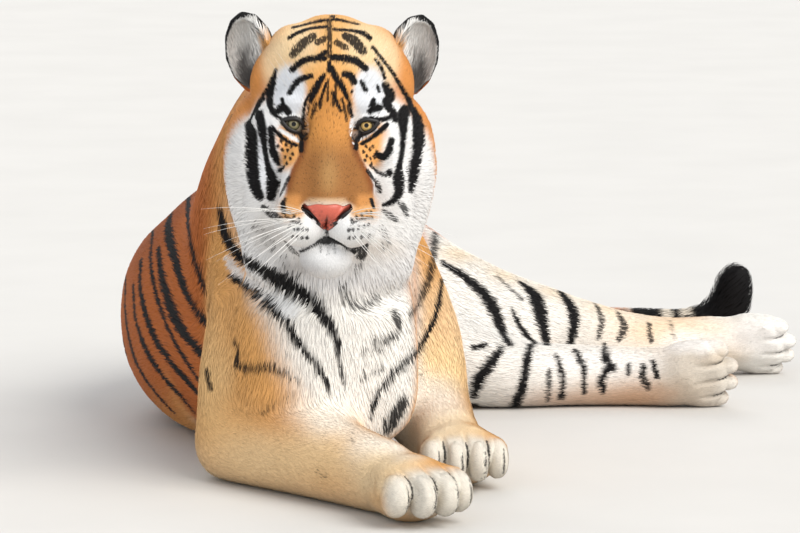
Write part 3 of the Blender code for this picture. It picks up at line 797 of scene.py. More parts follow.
PALE_STROKES = [
    (0.75, (-166, -212, 3), (-140, -247, 8), (-104, -276, 13), (-66, -300, 12)),
    (1, (-80, -7, 1.8), (-65, -16, 2.4), (-50, -25, 2)),
    (1, (74, -5, 1.8), (59, -14, 2.4), (44, -23, 2)),
    (1, (37, 14, 1.2), (34, 0, 1.5), (34.5, -14, 1.5), (38, -28, 1.2)),
    (0.8, (-78, 16, 1), (-66, 17, 1.2), (-56, 13, 1)), (0.8, (52, 18, 1), (64, 19, 1.2), (76, 14, 1)),
    (0.7, (-86, 2, 4), (-98, -20, 6), (-98, -50, 4)), (0.7, (100, 5, 4), (106, -20, 6), (106, -56, 4)),
]
BODY_STROKES = [
    # ruff and neck
    (1, (-176, -139, 4), (-168, -175, 6), (-139, -215, 7), (-107, -235, 8), (-75, -255, 12),
     (-43, -275, 10), (-15, -303, 8), (5, -335, 5), (17, -359, 3)),
    (1, (-156, -243, 4), (-127, -267, 5), (-99, -291, 6), (-75, -315, 5), (-51, -351, 5),
     (-27, -383, 4), (-7, -411, 3), (-1, -431, 2)),
    (0.8, (175, -127, 4), (169, -187, 5), (161, -239, 5), (141, -287, 5), (129, -307, 4)),
    (1, (181, -247, 2), (173, -295, 3), (161, -327, 3), (137, -367, 4), (105, -399, 4), (77, -435, 3),
     (65, -471, 2)),
    (0.6, (21, -263, 5), (29, -283, 6), (53, -295, 6), (77, -279, 4)),
    (0.8, (105, -303, 4), (111, -327, 4), (93, -347, 4), (69, -351, 3)),
    (0.6, (53, -367, 3), (85, -363, 3)), (0.6, (49, -411, 3), (85, -391, 3)),
    (0.8, (-3, -311, 3), (9, -343, 4), (17, -391, 3), (23, -419, 1)),
    # painted shadow: the dark gap between the forelegs, below the chest
    (0.9, (117, -447, 8), (93, -487, 8)),
    # forelegs
    (0.95, (-153, -347, 1.8), (-147, -367, 2.8), (-149, -385, 4), (-131, -393, 3.8), (-99, -391, 3),
     (-67, -403, 2.2), (-51, -411, 1.4)),
    (0.5, (-107, -463, 2), (-83, -447, 2), (-59, -435, 2)), (0.35, (39, -491, 1.5), (37, -511, 1.5)),
    (0.35, (-19, -557, 3), (-7, -562, 3)), (0.9, (-198, -395, 2.5), (-192, -423, 2.5)),
    # flank
    (1, (-226, -99, 4), (-228, -147, 5), (-222, -199, 5), (-208, -247, 5), (-188, -295, 4)),
    (1, (-254, -135, 4), (-260, -167, 8), (-248, -219, 8), (-232, -267, 5), (-212, -303, 5),
     (-192, -327, 6)),
    (1, (-276, -199, 4), (-268, -255, 8), (-248, -311, 10), (-224, -347, 6), (-200, -375, 8)),
    (1, (-284, -167, 3), (-288, -219, 3), (-278, -275, 4), (-256, -335, 3), (-228, -383, 3),
     (-204, -419, 2)),
    (1, (-304, -219, 5), (-304, -267, 5), (-288, -327, 6), (-260, -375, 5), (-228, -411, 5),
     (-208, -435, 4)),
    (1, (-316, -259, 4), (-312, -311, 4), (-296, -359, 5), (-268, -403, 4), (-236, -439, 4),
     (-220, -459, 3)),
    (1, (-328, -247, 4), (-328, -307, 5), (-316, -367, 5), (-296, -407, 4), (-268, -443, 4),
     (-252, -459, 3)),
    (1, (-332, -343, 4), (-320, -391, 4), (-300, -427, 4), (-280, -459, 3)),
    # thighs and shanks
    (1, (182, -221, 2.5), (216, -243, 4), (247, -270, 6), (266, -300, 7), (277, -331, 5),
     (289, -352, 4)),
    (0.6, (270, -243, 1.5), (311, -281, 1.5)), (1, (292, -293, 1.5), (311, -331, 3), (330, -350, 3.5)),
    (1, (306, -251, 3), (327, -270, 7), (338, -296, 8), (344, -327, 6), (349, -352, 4)),
    (1, (372, -268, 5), (387, -289, 6), (393, -315, 6), (387, -350, 4)),
    (0.8, (425, -281, 2), (437, -312, 3), (431, -342, 2)),
    (0.85, (463, -300, 2), (473, -323, 4), (465, -344, 3)), (0.8, (513, -319, 2.5), (516, -346, 2.5)),
    (0.5, (547, -315, 2), (554, -340, 2)), (1, (232, -357, 3), (251, -353, 3)),
    (1, (277, -357, 3), (258, -384, 6), (239, -410, 7), (232, -433, 4)),
    (1, (232, -448, 4), (254, -460, 4)),
    (1, (323, -353, 4), (315, -388, 4.5), (308, -426, 5), (294, -458, 6)),
    (0.7, (353, -395, 2.5), (351, -441, 2.5)), (1, (364, -369, 2), (374, -403, 3.5), (372, -437, 3)),
    (1, (395, -361, 2.5), (408, -391, 3), (410, -429, 2)),
    (1, (442, -353, 2), (444, -376, 4), (459, -391, 3)),
    (1, (448, -388, 4), (437, -410, 4), (440, -426, 3)), (1, (482, -384, 2), (480, -399, 2)),
    (1, (505, -386, 3), (503, -403, 3), (511, -420, 3)), (1, (520, -380, 2.5), (526, -403, 2.5)),
]

# Hidden sides get rings of stripes round the chains: chain, first and last node, gap between rings,
# half width, and how far round from the back they reach, in degrees.

RINGS = [
    ("body", "head", "neck", 0.060, 0.0075, 100),
    ("body", "chest", "hips", 0.058, 0.0105, 120),
    ("body", "tail_base", "tail_middle", 0.052, 0.0090, 140),
    ("foreleg_left", "forearm_left", "forearm_left", 0.085, 0.003, 70),
    ("hindleg_left", "thigh_left", "shank_left", 0.052, 0.0085, 120),
    ("hindleg_right", "thigh_right", "shank_right", 0.052, 0.0085, 120),
]
# How far along a stripe, and the share of its width there.
RING_SHAPE = [(0.0, 0.15), (0.2, 0.75), (0.5, 1.0), (0.8, 0.7), (1.0, 0.10)]
RING_PARTS = [(0.02, 0.52), (0.40, 1.0)]        # each ring is two stripes, from the back down
RING_STRAY = 0.045          # a ring ends where the skin lies this much nearer to another part of the chain
RING_STEPS = 40             # dabs along a stripe
TAIL_BLACK = [(0.332, 0.393), (0.414, 0.431), (0.4525, 0.474)]      # the tail's rings, along x
TAIL_TIP = ((0.486, 0.897, 0.068), (0.63, -0.2, 0.75))      # where its black tip begins, and its way
TAIL_END = 0.44             # the tip lies beyond this, along x
TAIL_EDGE = 0.004           # half the width of a ring's soft edge
MARK_SPREAD = 1.15          # strokes are drawn this many times as wide
HIND_SPREAD = 1.35          # and on the hind legs this many times
MARK_MORE = 0.9             # and all strokes this many millimetres wider
STROKE_GAP = 0.04           # gaps shorter than this along a stroke are filled
SEEN_WITHIN = 0.03          # the camera sees a place if the skin before it is this near
GRAZING = 0.60              # on skin seen at a slant, a dab is stretched by no more than 1 / this
HIND_FROM = 180             # strokes right of this, in the picture plane, lie on the hind legs
FLANK_TO = -195             # and strokes left of this on the flank, not on the foreleg before it

# Lines on the toes, from high to low in degrees round a place in the paw, and their half widths.
FORE_CLEFT = (60, -30, 0.0026)
HIND_CLEFT = (40, -50, 0.0029)
CLAW_LINE = (15, -32, 0.0022)
CLAW_ASIDE = 0.20           # how far the lines beside the claws lie aside, and
LINE_BEHIND = 1.3           # how far behind the claws the place is, as shares of the claws' gap
LINE_STEPS = 60


class Marks:
    """Strokes on the skin, as round dabs along smooth lines."""

    def __init__(self):
        self.dabs = []

    def dab(self, place, width, strength=1.0, flat=False):
        """One dab; a flat one is measured in the picture plane."""
        self.dabs.append((np.array(place), width, strength, flat))

    def stroke(self, tree, strength, rows, spread=MARK_SPREAD, keep=None):
        """A stroke of the picture plane, cast from the camera's place onto the skin's kept faces."""
        rows = np.array(rows, float)
        step = 0.35 * rows[:, 2].min() + 0.5
        if len(rows) == 2:
            rows = np.vstack([rows[0], (rows[0] + rows[1]) / 2, rows[1]])
        last = None
        for across, above, width in smooth_line(rows, step):
            hit, _, index, _ = tree.ray_cast(Vector(camera_place), Vector(ray_to(across, above)))
            size = (width * spread + MARK_MORE) * MM
            if hit is None or (keep is not None and not keep[index]):
                last = None
                continue
            gap = (hit - last).length if last is not None else 0.0
            if size < gap < STROKE_GAP:
                for share in np.arange(1, int(gap / size) + 1) / (int(gap / size) + 1):
                    self.dab(tree.find_nearest(last.lerp(hit, share))[0], size, strength)
            self.dab(hit, size, strength, True)
            last = hit

    def cover(self, places, jitter):
        """How far each place is covered, from 0 to 1; jitter stretches each place's distance."""
        out = np.zeros(len(places))
        tree = point_tree(places)
        flat = on_plane(places) * MM
        for place, width, strength, is_flat in self.dabs:
            found = tree.find_range(place, 2.2 * width + 0.0015 if is_flat else 1.3 * width + 0.001)
            if not found:
                continue
            near = np.array([item[1] for item in found])
            away = np.array([item[2] for item in found])
            if is_flat:
                middle = on_plane(place[None]) * MM
                away = np.maximum(norm(flat[near] - middle), GRAZING * away)
            soft = 0.22 * width + 0.0004
            cover = strength * fall(away * jitter[near], width - soft, width + soft)
            out[near] = np.maximum(out[near], cover)
        return out


def seen(tree, place):
    """True if the camera sees a place."""
    hit = tree.ray_cast(Vector(camera_place), Vector(unit(place - camera_place)))[0]
    return hit is not None and (hit - Vector(place)).length < SEEN_WITHIN


def add_toe_lines(marks, tree):
    """Dark lines down the grooves between the toes, and beside the claws of the forepaws."""
    for number, (_, ahead, across, up, claws) in enumerate(paws):
        gap = toe_gap(claws)
        clefts = [(one + two) / 2 for one, two in zip(claws, claws[1:])]
        lines = [(place, *(FORE_CLEFT if number < 2 else HIND_CLEFT)) for place in clefts]
        if number < 2:
            lines += [(claw + across * CLAW_ASIDE * gap, *CLAW_LINE) for claw in claws]
        for place, high, low, width in lines:
            origin = place - ahead * LINE_BEHIND * gap
            for share in np.linspace(0.0, 1.0, LINE_STEPS):
                angle = math.radians(mix(high, low, share))
                hit = tree.ray_cast(Vector(origin), Vector(ahead * math.cos(angle) + up * math.sin(angle)))[0]
                if hit is not None:
                    marks.dab(hit, width * math.sin(math.pi * (0.12 + 0.8 * share)), 0.95)


def add_ring(marks, tree, rng, line, run, belly, at, ring):
    """Two stripes down each side of a chain, at one of its steps."""
    *_, gap, width, reach = ring
    for sign in (-1, 1):
        far = math.radians(reach * rng.uniform(0.85, 1.05))
        for first_share, last_share in RING_PARTS:
            slant, wave, size = rng.uniform(-0.02, 0.05), rng.uniform(0, 6.28), rng.uniform(0.7, 1.2)
            shift = rng.uniform(-0.2, 0.2) * gap
            for step in np.linspace(0.0, 1.0, RING_STEPS):
                share = mix(first_share, last_share, step)
                out = -belly * math.cos(far * share) + np.cross(run, belly) * sign * math.sin(far * share)
                origin = line[int(at)] + run * (shift + slant * share + 0.005 * math.sin(wave + 6 * share))
                hit = tree.ray_cast(Vector(origin), Vector(out))[0]
                if hit is None or seen(tree, np.array(hit)):
                    continue
                if np.abs(nearest_on(line, np.array(hit)[None])[0] - at) * CHAIN_STEP <= RING_STRAY:
                    marks.dab(hit, width * size * np.interp(step, *zip(*RING_SHAPE)))


def add_rings(marks, tree, rng):
    """Rings of stripes on the sides that the camera doesn't see."""
    for ring in RINGS:
        chain, first, last, gap, *_ = ring
        line, runs = chains[chain]
        names = CHAINS[chain]

        def step_of(place):
            return nearest_on(line, place[None])[0]

        def before(name):
            return cut_middle(names[names.index(name) - 1], name)

        middle = (step_of(solid_middle(first)) + step_of(solid_middle(last))) / 2
        start = step_of(before(first) if first != names[0] else solid_middle(first))
        end = min(2 * step_of(solid_middle(last)) - step_of(before(last)), len(line) - 1)
        at = start + 4.0
        while at < end:
            belly = unit(np.array(coat_of(first if at < middle else last)[2]))
            run = runs[int(at)]
            add_ring(marks, tree, rng, line, run, unit(belly - run * (belly @ run)), at, ring)
            at += gap / CHAIN_STEP * rng.uniform(0.85, 1.15)


# Colours of the coat without its marks.

def paint(red, green, blue):
    """A colour as it looks on a screen, from 0 to 255, made into light."""
    value = np.array((red, green, blue)) / 255.0
    return np.where(value <= 0.04045, value / 12.92, ((value + 0.055) / 1.055) ** 2.4)


BLACK = paint(14, 12, 13)
GREY_WHITE = paint(232, 231, 231)
CREAM = paint(242, 220, 184)
GOLD = paint(226, 166, 98)
ORANGE = paint(178, 97, 42)
RUST = paint(146, 75, 33)

# Patches in the picture plane: middle, radii, colour, how soft the edge is, strength.
HEAD_PATCHES = [
    ((0, 110), (84, 90), (226, 172, 106), 0.35, 0.95),          # forehead and crown
    ((-52, 132), (34, 36), (234, 208, 166), 0.5, 0.8), ((56, 132), (34, 36), (234, 208, 166), 0.5, 0.8),
    ((-90, 104), (20, 40), (238, 214, 174), 0.5, 0.7), ((92, 104), (20, 40), (238, 214, 174), 0.5, 0.7),
    ((0, 40), (38, 46), (220, 152, 80), 0.3, 1.0),              # between the eyes
    ((-66, 56), (27, 42), (224, 226, 230), 0.2, 1.0), ((64, 54), (26, 42), (219, 221, 225), 0.2, 1.0),
    ((-72, -34), (30, 36), (228, 160, 82), 0.3, 0.95), ((72, -32), (33, 36), (228, 160, 82), 0.3, 0.95),
    ((-104, -56), (22, 60), (234, 235, 238), 0.4, 1.0), ((106, -56), (22, 64), (230, 228, 226), 0.4, 1.0),
    # muzzle and chin
    ((-62, -137), (21, 23), (214, 158, 96), 0.45, 0.95), ((55, -136), (23, 24), (214, 158, 96), 0.45, 0.95),
    ((-50, -172), (38, 22), (238, 237, 236), 0.35, 0.95), ((44, -172), (38, 22), (238, 237, 236), 0.35, 0.95),
    ((-24, -146), (14, 20), (238, 237, 236), 0.4, 1.0), ((16, -146), (14, 20), (238, 237, 236), 0.4, 1.0),
    ((0, -228), (50, 30), (238, 238, 238), 0.3, 1.0), ((-5, -124), (42, 8), (206, 178, 152), 0.4, 0.9),
    # the shaded jowls
    ((-100, -184), (30, 34), (176, 168, 160), 0.6, 0.55), ((84, -216), (46, 30), (186, 168, 148), 0.6, 0.6),
]
FORELEG_PATCHES = [
    ((-176, -400), (60, 110), (238, 196, 138), 0.5, 0.8),       # elbow of the right foreleg
    ((-140, -312), (50, 76), (228, 164, 94), 0.5, 0.7),         # its shoulder
    ((-112, -450), (60, 34), (222, 158, 92), 0.5, 0.6),         # its forearm: golden above
    ((-66, -530), (130, 42), (244, 212, 164), 0.5, 0.8),        # cream below
    ((-40, -380), (56, 72), (248, 240, 224), 0.45, 0.95),       # white in the crook
    ((-66, -476), (46, 30), (204, 146, 90), 0.6, 0.45), ((34, -446), (92, 24), (250, 243, 230), 0.5, 0.85),
    ((18, -468), (70, 30), (252, 242, 226), 0.5, 0.9), ((96, -515), (60, 30), (252, 244, 230), 0.5, 0.9),
    ((84, -562), (62, 36), (236, 208, 166), 0.6, 0.9),          # its paw, above
    # left foreleg
    ((172, -400), (52, 46), (246, 218, 166), 0.5, 0.8), ((146, -454), (64, 52), (252, 246, 234), 0.5, 0.9),
    ((196, -492), (56, 34), (236, 218, 182), 0.5, 0.7),
]
HINDLEG_PATCHES = [
    # the near shank
    ((430, -442), (120, 22), (206, 148, 98), 0.6, 0.6), ((450, -384), (110, 24), (250, 247, 243), 0.6, 0.9),
    ((512, -430), (62, 24), (200, 152, 112), 0.7, 0.6), ((632, -358), (44, 22), (220, 186, 144), 0.6, 0.5),
    ((560, -330), (90, 26), (238, 196, 142), 0.6, 0.6),         # along the far shank
    ((225, -205), (44, 16), (238, 208, 164), 0.6, 0.7), ((300, -235), (46, 16), (238, 208, 164), 0.6, 0.7),
    ((380, -266), (48, 14), (238, 208, 164), 0.6, 0.7), ((460, -292), (48, 12), (238, 208, 164), 0.6, 0.7),
    ((598, -388), (58, 44), (204, 190, 170), 0.5, 0.6), ((581, -350), (50, 18), (250, 247, 243), 0.5, 0.9),
    ((690, -340), (60, 26), (248, 244, 240), 0.5, 0.8),         # far paw, above
    ((590, -440), (50, 30), (206, 190, 170), 0.6, 0.6),         # near paw, sole side
]
BRIDGE_EDGE = [(-42, 4), (-47, -29), (-52, -50), (-63, -70), (-71, -95), (-73, -122), (-52, -130), (-40, -121),
               (-6, -119), (28, -121), (46, -130), (70, -124), (71, -95), (61, -70), (50, -50), (43, -30),
               (38, -12), (37, 8), (29, 29), (14, 44), (-4, 50), (-24, 44), (-38, 26)]


def patched(colour, patches, across, above, share):
    """A colour with soft patches of the picture plane laid over it."""
    for middle, radii, patch, soft, strength in patches:
        away = np.hypot((across - middle[0]) / radii[0], (above - middle[1]) / radii[1])
        colour = mix(colour, paint(*patch), strength * fall(away, 1 - soft, 1 + soft) * share)
    return colour


def inside(points, loop):
    """True for the points inside a closed loop, both in a plane."""
    out = np.zeros(len(points), bool)
    for (ax, ay), (bx, by) in zip(loop, np.roll(loop, -1, axis=0)):
        crosses = (ay > points[:, 1]) != (by > points[:, 1])
        edge = ax + (points[:, 1] - ay) / (by - ay if by != ay else 1e-9) * (bx - ax)
        out ^= crosses & (points[:, 0] < edge)
    return out


def edge_depth(flat, loop):
    """How deep places of the picture plane lie inside a loop; below 0 outside it."""
    loop = np.array(loop, float)
    out = np.full(len(flat), 1e9)
    for start, end in zip(loop, np.roll(loop, -1, axis=0)):
        run = end - start
        share = np.clip((flat - start) @ run / (run @ run), 0.0, 1.0)
        out = np.minimum(out, norm(flat - start - share[:, None] * run))
    return np.where(inside(flat, loop), out, -out)


def add_bridge(colour, flat, share):
    """The brown bridge of the nose: darker at its sides, lighter in its middle."""
    near = np.flatnonzero((np.abs(flat[:, 0]) < 90) & (flat[:, 1] < 70) & (flat[:, 1] > -140) & (share > 0))
    depth = edge_depth(flat[near], BRIDGE_EDGE)
    across, above = flat[near].T
    below = -above
    tone = mix(paint(206, 142, 74), paint(154, 103, 56), smooth_step(below, 0, 60))
    tone = mix(tone, paint(176, 135, 84), 0.8 * np.exp(-((across + 2) / 16) ** 2 - ((above + 78) / 34) ** 2))
    sides = fall(depth, 2, 15) * smooth_step(below, 0, 40) * fall(below, 96, 116)
    tone = mix(tone, paint(128, 70, 32), sides * 0.85)
    for middle in (-45, 42):
        corner = np.hypot((across - middle) / 11, (above + 22) / 26)
        tone = mix(tone, paint(96, 54, 32), 0.85 * fall(corner, 0.3, 1.3))
    over_nose = smooth_step(below, 113, 119) * fall(np.abs(across + 5), 26, 36)
    beside_nose = smooth_step(below, 104, 118) * smooth_step(np.abs(across + 2), 40, 52)
    tone = mix(mix(tone, paint(196, 158, 118), over_nose), paint(200, 138, 78), beside_nose)
    out = colour.copy()
    edge = smooth_step(depth, -2.0 - 4 * smooth_step(below, 100, 125), 2.5)
    out[near] = mix(colour[near], tone, edge * share[near])
    return out


def toe_share(places):
    """1 on the toes of the forepaws, 0 from the middle of the paws back."""
    out = np.zeros(len(places))
    for _, ahead, _, _, claws in paws[:2]:
        off = places - claws.mean(0)
        out = np.maximum(out, smooth_step(off @ ahead, -0.055, -0.012) * (norm(off) < 0.09))
    return out


def above_belly(places, labels_here, belly):
    """-1 on the belly side of a body or limb, 1 on its back."""
    out = np.zeros(len(places))
    for index, name in enumerate(flesh_names):
        here = np.flatnonzero(labels_here == index)
        if len(here):
            line, runs = chains[chain_of(name)]
            step = nearest_on(line, places[here])
            away = places[here] - line[step]
            away -= runs[step] * (away * runs[step]).sum(1)[:, None]
            out[here] = -(unit(away) * belly[here]).sum(1)
    return out


def bib_share(places, normals, labels_here, across, above):
    """How far the white of the chest and throat covers each place, between the two shoulders."""
    left_edge = np.interp(above, [-500, -420, -290, -220, -120], [14, -58, -112, -134, -146])
    right_edge = np.interp(above, [-500, -400, -280, -130], [125, 150, 178, 192])
    trunk = label_share(labels_here, ("neck", "chest"))
    facing = smooth_step(0.14 * smooth_step(across, 60, 120) * trunk - normals @ camera_ahead, 0.1, 0.5)
    bib = smooth_step(across - left_edge, -30, 24) * smooth_step(right_edge - across, -14, 16) * facing
    bib *= smooth_step(-above, 60, 120) * smooth_step(-places[:, 1], 0.25, 0.35)
    share = label_share(labels_here, ("neck", "chest", "foreleg"))
    share *= 1 - (1 - trunk) * smooth_step(across, 60, 110)      # not on the left foreleg
    return bib * share


def head_colours(flat, across, above, local, share):
    """The ground colour of the head, with painted shade under the chin."""
    face = fall(local[:, 1], 0.13, 0.20)
    tone = mix(ORANGE, paint(232, 230, 228), face * fall(above, 30, 110))
    tone = mix(tone, GOLD, smooth_step(above, 60, 120) * 0.8)
    behind = local[:, 1] - np.interp(local[:, 2], [-0.26, -0.12, -0.02, 0.05], [0.150, 0.115, 0.075, 0.030])
    tone = mix(tone, paint(208, 138, 74), smooth_step(behind, -0.016, 0.020))
    tone = patched(tone, HEAD_PATCHES, across, above, face)
    tone = add_bridge(tone, flat, face * share)
    tone = mix(tone, GREY_WHITE, fall(local[:, 2], -0.25, -0.18))
    # painted shade under the chin, on its left in the picture plane
    painted_chin_shade = np.exp(-((across + 58) / 40) ** 2 - ((above + 234) / 20) ** 2)
    return mix(tone, paint(138, 130, 126), 0.55 * painted_chin_shade)


def base_colours(places, normals, labels_here, belly):
    """The coat's ground colour."""
    def share_of(*starts):
        return label_share(labels_here, starts)

    head = share_of(*HEAD_PARTS)
    uneven = np.array([noise.noise(Vector(place * 24)) + 0.6 * noise.noise(Vector(place * 60))
                       for place in places])
    back = above_belly(places, labels_here, belly) + 0.16 * uneven
    flat = on_plane(places)
    across, above = (flat + 7 * uneven[:, None] * (1 - head)[:, None]).T
    front = smooth_step(-(normals @ camera_ahead), -0.1, 0.3)
    # body: rust on the back, orange, then golden and pale towards the belly
    colour = mix(ORANGE, RUST, smooth_step(back, 0.3, 0.9) * 0.8)
    colour = mix(colour, GOLD, fall(back, -0.8, -0.35))
    colour = mix(colour, paint(238, 232, 222), fall(back, -0.97, -0.75))
    before = mix(ORANGE, GOLD, smooth_step(across, -215, -150))
    colour = mix(colour, before, share_of("neck", "chest") * front)
    # forelegs: golden outside, cream inside and towards the paws
    tone = mix(GOLD, CREAM, fall(back, -0.5, 0.3) * (1 - 0.5 * front))
    tone = patched(tone, FORELEG_PATCHES, across, above, front)
    toes = toe_share(places)
    tone = mix(tone, paint(232, 224, 210), toes)
    # painted shade: the toes grow greyer low down, towards the floor
    tone = mix(tone, paint(176, 170, 162), toes * fall(places[:, 2], 0.004, 0.030) * 0.6)
    colour = mix(colour, tone, share_of("foreleg", "forearm", "forepaw"))
    # hind legs: white, golden on their backs
    tone = mix(paint(240, 236, 229), GOLD, smooth_step(back, 0.45, 0.95) * (1 - 0.6 * front))
    tone = mix(tone, paint(238, 200, 148), smooth_step(across, 330, 470) * 0.22 * fall(across, 520, 640))
    tone = patched(tone, HINDLEG_PATCHES, across, above, front)
    colour = mix(colour, tone, share_of("thigh", "shank", "hindpaw"))
    colour = mix(colour, paint(230, 222, 210), share_of("hips") * front * smooth_step(across, 150, 200))
    # tail: orange above, white below, white between its black rings near the tip
    tone = mix(paint(226, 214, 196), ORANGE, smooth_step(back, -0.3, 0.3) * fall(places[:, 0], 0.30, 0.35))
    colour = mix(colour, tone, share_of("tail"))
    colour = mix(colour, paint(243, 239, 232), bib_share(places, normals, labels_here, across, above))
    return mix(colour, head_colours(flat, across, above, to_head(places), head), head)


def tail_black(places, labels_here):
    """How far the tail's black rings and tip cover each place."""
    along = places[:, 0]
    place, way = np.array(TAIL_TIP)
    out = smooth_step((places - place) @ unit(way), -TAIL_EDGE, TAIL_EDGE) * (along > TAIL_END)
    for low, high in TAIL_BLACK:
        ring = (smooth_step(along, low - TAIL_EDGE, low + TAIL_EDGE)
                * fall(along, high - TAIL_EDGE, high + TAIL_EDGE))
        out = np.maximum(out, ring)
    return out * label_share(labels_here, ("tail",))


# The openings of the skin, as loops in the picture plane, in millimetres.

EYE_OPEN = 1.10             # the openings are this much wider than the outline
EYE_LOOP = [(-17.5, -20.0), (-15.5, -12), (-13.5, -2.5), (-8.5, 4.8), (-1, 7.6), (7.5, 7.0), (15.5, 4.6),
            (9.5, -3.5), (2, -8.5), (-6, -12), (-12.5, -18)]     # round the tiger's left eye, from its middle
NOSE_EDGE = [(-36, -129), (-22, -125.5), (-6, -126.5), (10, -125.5), (24, -129), (33, -124), (38, -131),
             (29, -143), (16, -154), (5, -165), (-5, -170), (-15, -165), (-26, -154), (-39, -143), (-48, -131),
             (-43, -124)]
NOSE_AHEAD = -0.08          # only skin ahead of this, in the head's own directions, is near the nose


def eye_loop(side, wider=0.0):
    """The smooth outline of an eye's opening, from the eye's middle."""
    line = smooth_loop(np.array(EYE_LOOP) * EYE_OPEN, 1.0)
    if side == "right":
        line = line * np.array((-1.0, 1.0))
    return line + unit(line) * wider


def nose_loop(wider=0.0):
    """The outline of the nose leather."""
    line = smooth_loop(NOSE_EDGE, 1.5)
    return line + unit(line - line.mean(0)) * wider


def in_eyes(places, wider):
    """True on the face inside the outline of an eye's opening."""
    out = np.zeros(len(places), bool)
    for side, centre in eye_middles.items():
        near = norm(places - centre) < 1.7 * eye_radius
        out |= inside(on_plane(places) - eyes_on_plane[side], eye_loop(side, wider)) & near
    return out


def open_eyes(shape):
    """Cut the eye openings, and the room of the nose leather, out of the skin."""
    faces = list(shape.faces)
    middles = np.array([face.calc_center_median() for face in faces])
    gone = inside(on_plane(middles), nose_loop(-2.5)) & (to_head(middles)[:, 1] < NOSE_AHEAD)
    for side, centre in eye_middles.items():
        off = on_plane(middles) - eyes_on_plane[side]
        near = (norm(middles - centre) < eye_radius * 1.6) & (norm(off) < 0.93 * eye_radius / MM)
        gone |= inside(off, eye_loop(side, 0.5)) & near
    bmesh.ops.delete(shape, geom=[faces[index] for index in np.flatnonzero(gone)], context="FACES")


# The skin, its marks and its colours.

rng = np.random.default_rng(SEED)
skin = make_skin()
reshaped(skin.data, open_eyes)
points = places_of(skin.data)
normals = normals_of(skin.data)
lie = Lie(points, normals, Neighbours(skin.data))
tree = face_tree(skin.data)
dark, pale = Marks(), Marks()
for strength, *rows in FACE_STROKES:
    dark.stroke(tree, strength, rows)
for places, width, (right, up), strength in DOTS:
    for across, above in places:
        dark.stroke(tree, strength, [(across, above, width), (across + right, above + up, width)])
on_foreleg = label_share(lie.label, ("foreleg", "forearm"))
off_foreleg = [on_foreleg[face.vertices[0]] == 0 for face in skin.data.polygons]
for strength, *rows in BODY_STROKES:
    middle = rows[len(rows) // 2][0]
    dark.stroke(tree, strength, rows, MARK_SPREAD if middle < HIND_FROM else HIND_SPREAD,
                off_foreleg if middle < FLANK_TO else None)
for side in eye_middles:
    rim = eye_loop(side, 2.4) + eyes_on_plane[side]
    dark.stroke(tree, 1.0, np.column_stack([rim, np.full(len(rim), 2.2)]))
faced = [np.array(face.normal) @ camera_ahead < -0.3 for face in skin.data.polygons]
for strength, *rows in PALE_STROKES:
    pale.stroke(tree, strength, rows, keep=faced)
add_rings(dark, tree, rng)
add_toe_lines(dark, tree)

DRAWS = (0.88, 1.16)        # each tuft draws a number between these, which stretches its way to the marks
DRAW_SPAN = 0.28            # and decides whether a thin mark colours it
SKIN_DRAW = 1.02            # the skin's own draw
SKIN_SHADE = 0.94           # painted shade: the skin under the coat is this much darker


def coat_colours(colour, places, labels_here, jitter):
    """The coat's ground colours with the marks laid over them."""
    threshold = np.clip((jitter - DRAWS[0]) / DRAW_SPAN, 0.0, 1.0)
    colour = mix(colour, paint(240, 240, 240), pale.cover(places, jitter))
    cover = np.maximum(dark.cover(places, jitter), tail_black(places, labels_here))
    cover = np.maximum(cover, in_eyes(places, 1.6))
    sparse = smooth_step(cover, threshold - 0.1, threshold + 0.1)
    return mix(colour, BLACK, np.where(cover > 0.92, cover, mix(cover, sparse, 0.6)))


ground = base_colours(points, normals, lie.label, lie.belly)
off_face = smooth_step(head_away(points, 0, -0.03, -0.08), 0.14, 0.22)
ground = Neighbours(skin.data).relaxed(ground, 14, 0.03 + 0.47 * off_face)
set_colours(skin.data, coat_colours(ground, points, lie.label, np.full(len(points), SKIN_DRAW)) * SKIN_SHADE)


# An unwrap of the skin: each face is laid flat the way it mostly faces, in patches packed on shelves.

UNWRAP_GAP = 0.01           # metres between two patches


class Unwrap:
    """Where each face of a surface lies on its unwrap."""

    def __init__(self, corners, faces_label, faces_normal):
        """corners: for each face its corners' places, (faces, 3, 3)."""
        main = np.abs(faces_normal).argmax(1)
        sign = np.take_along_axis(faces_normal, main[:, None], 1)[:, 0] > 0
        group = faces_label * 6 + main * 2 + sign
        self.place = np.zeros((len(corners), 3, 2))
        sizes = []
        for value in np.unique(group):
            here = np.flatnonzero(group == value)
            flat = corners[here][:, :, [axis for axis in range(3) if axis != main[here[0]]]]
            low = flat.reshape(-1, 2).min(0)
            self.place[here] = flat - low
            sizes.append((here, flat.reshape(-1, 2).max(0) - low))
        sizes.sort(key=lambda item: -item[1][1])
        width = 1.05 * math.sqrt(sum((size[0] + UNWRAP_GAP) * (size[1] + UNWRAP_GAP) for _, size in sizes))
        left, low, high = 0.0, 0.0, 0.0
        for here, size in sizes:
            if left + size[0] > width:
                left, low = 0.0, high + UNWRAP_GAP
            self.place[here] += (left, low)
            left += size[0] + UNWRAP_GAP
            high = max(high, low + size[1])
        self.place /= max(width, high)


# The coat. Each tuft is a bent, three-sided spike that lies along the skin.

DENSITY = 2.0               # how many tufts' own areas cover the skin
TUFT_THICK = 0.20           # thickness of a tuft as a share of its width
THINNEST = 0.0011
THICKEST = 0.0024
TUFT_LOWEST = 0.0006        # tufts stay this far above the floor
ROOT_DEEP = 0.0004          # and their roots lie this deep in the skin
PATCH = 0.003               # size of a tuft's own patch on the unwrap
FULL_PIECE = 21500          # most tufts in one piece

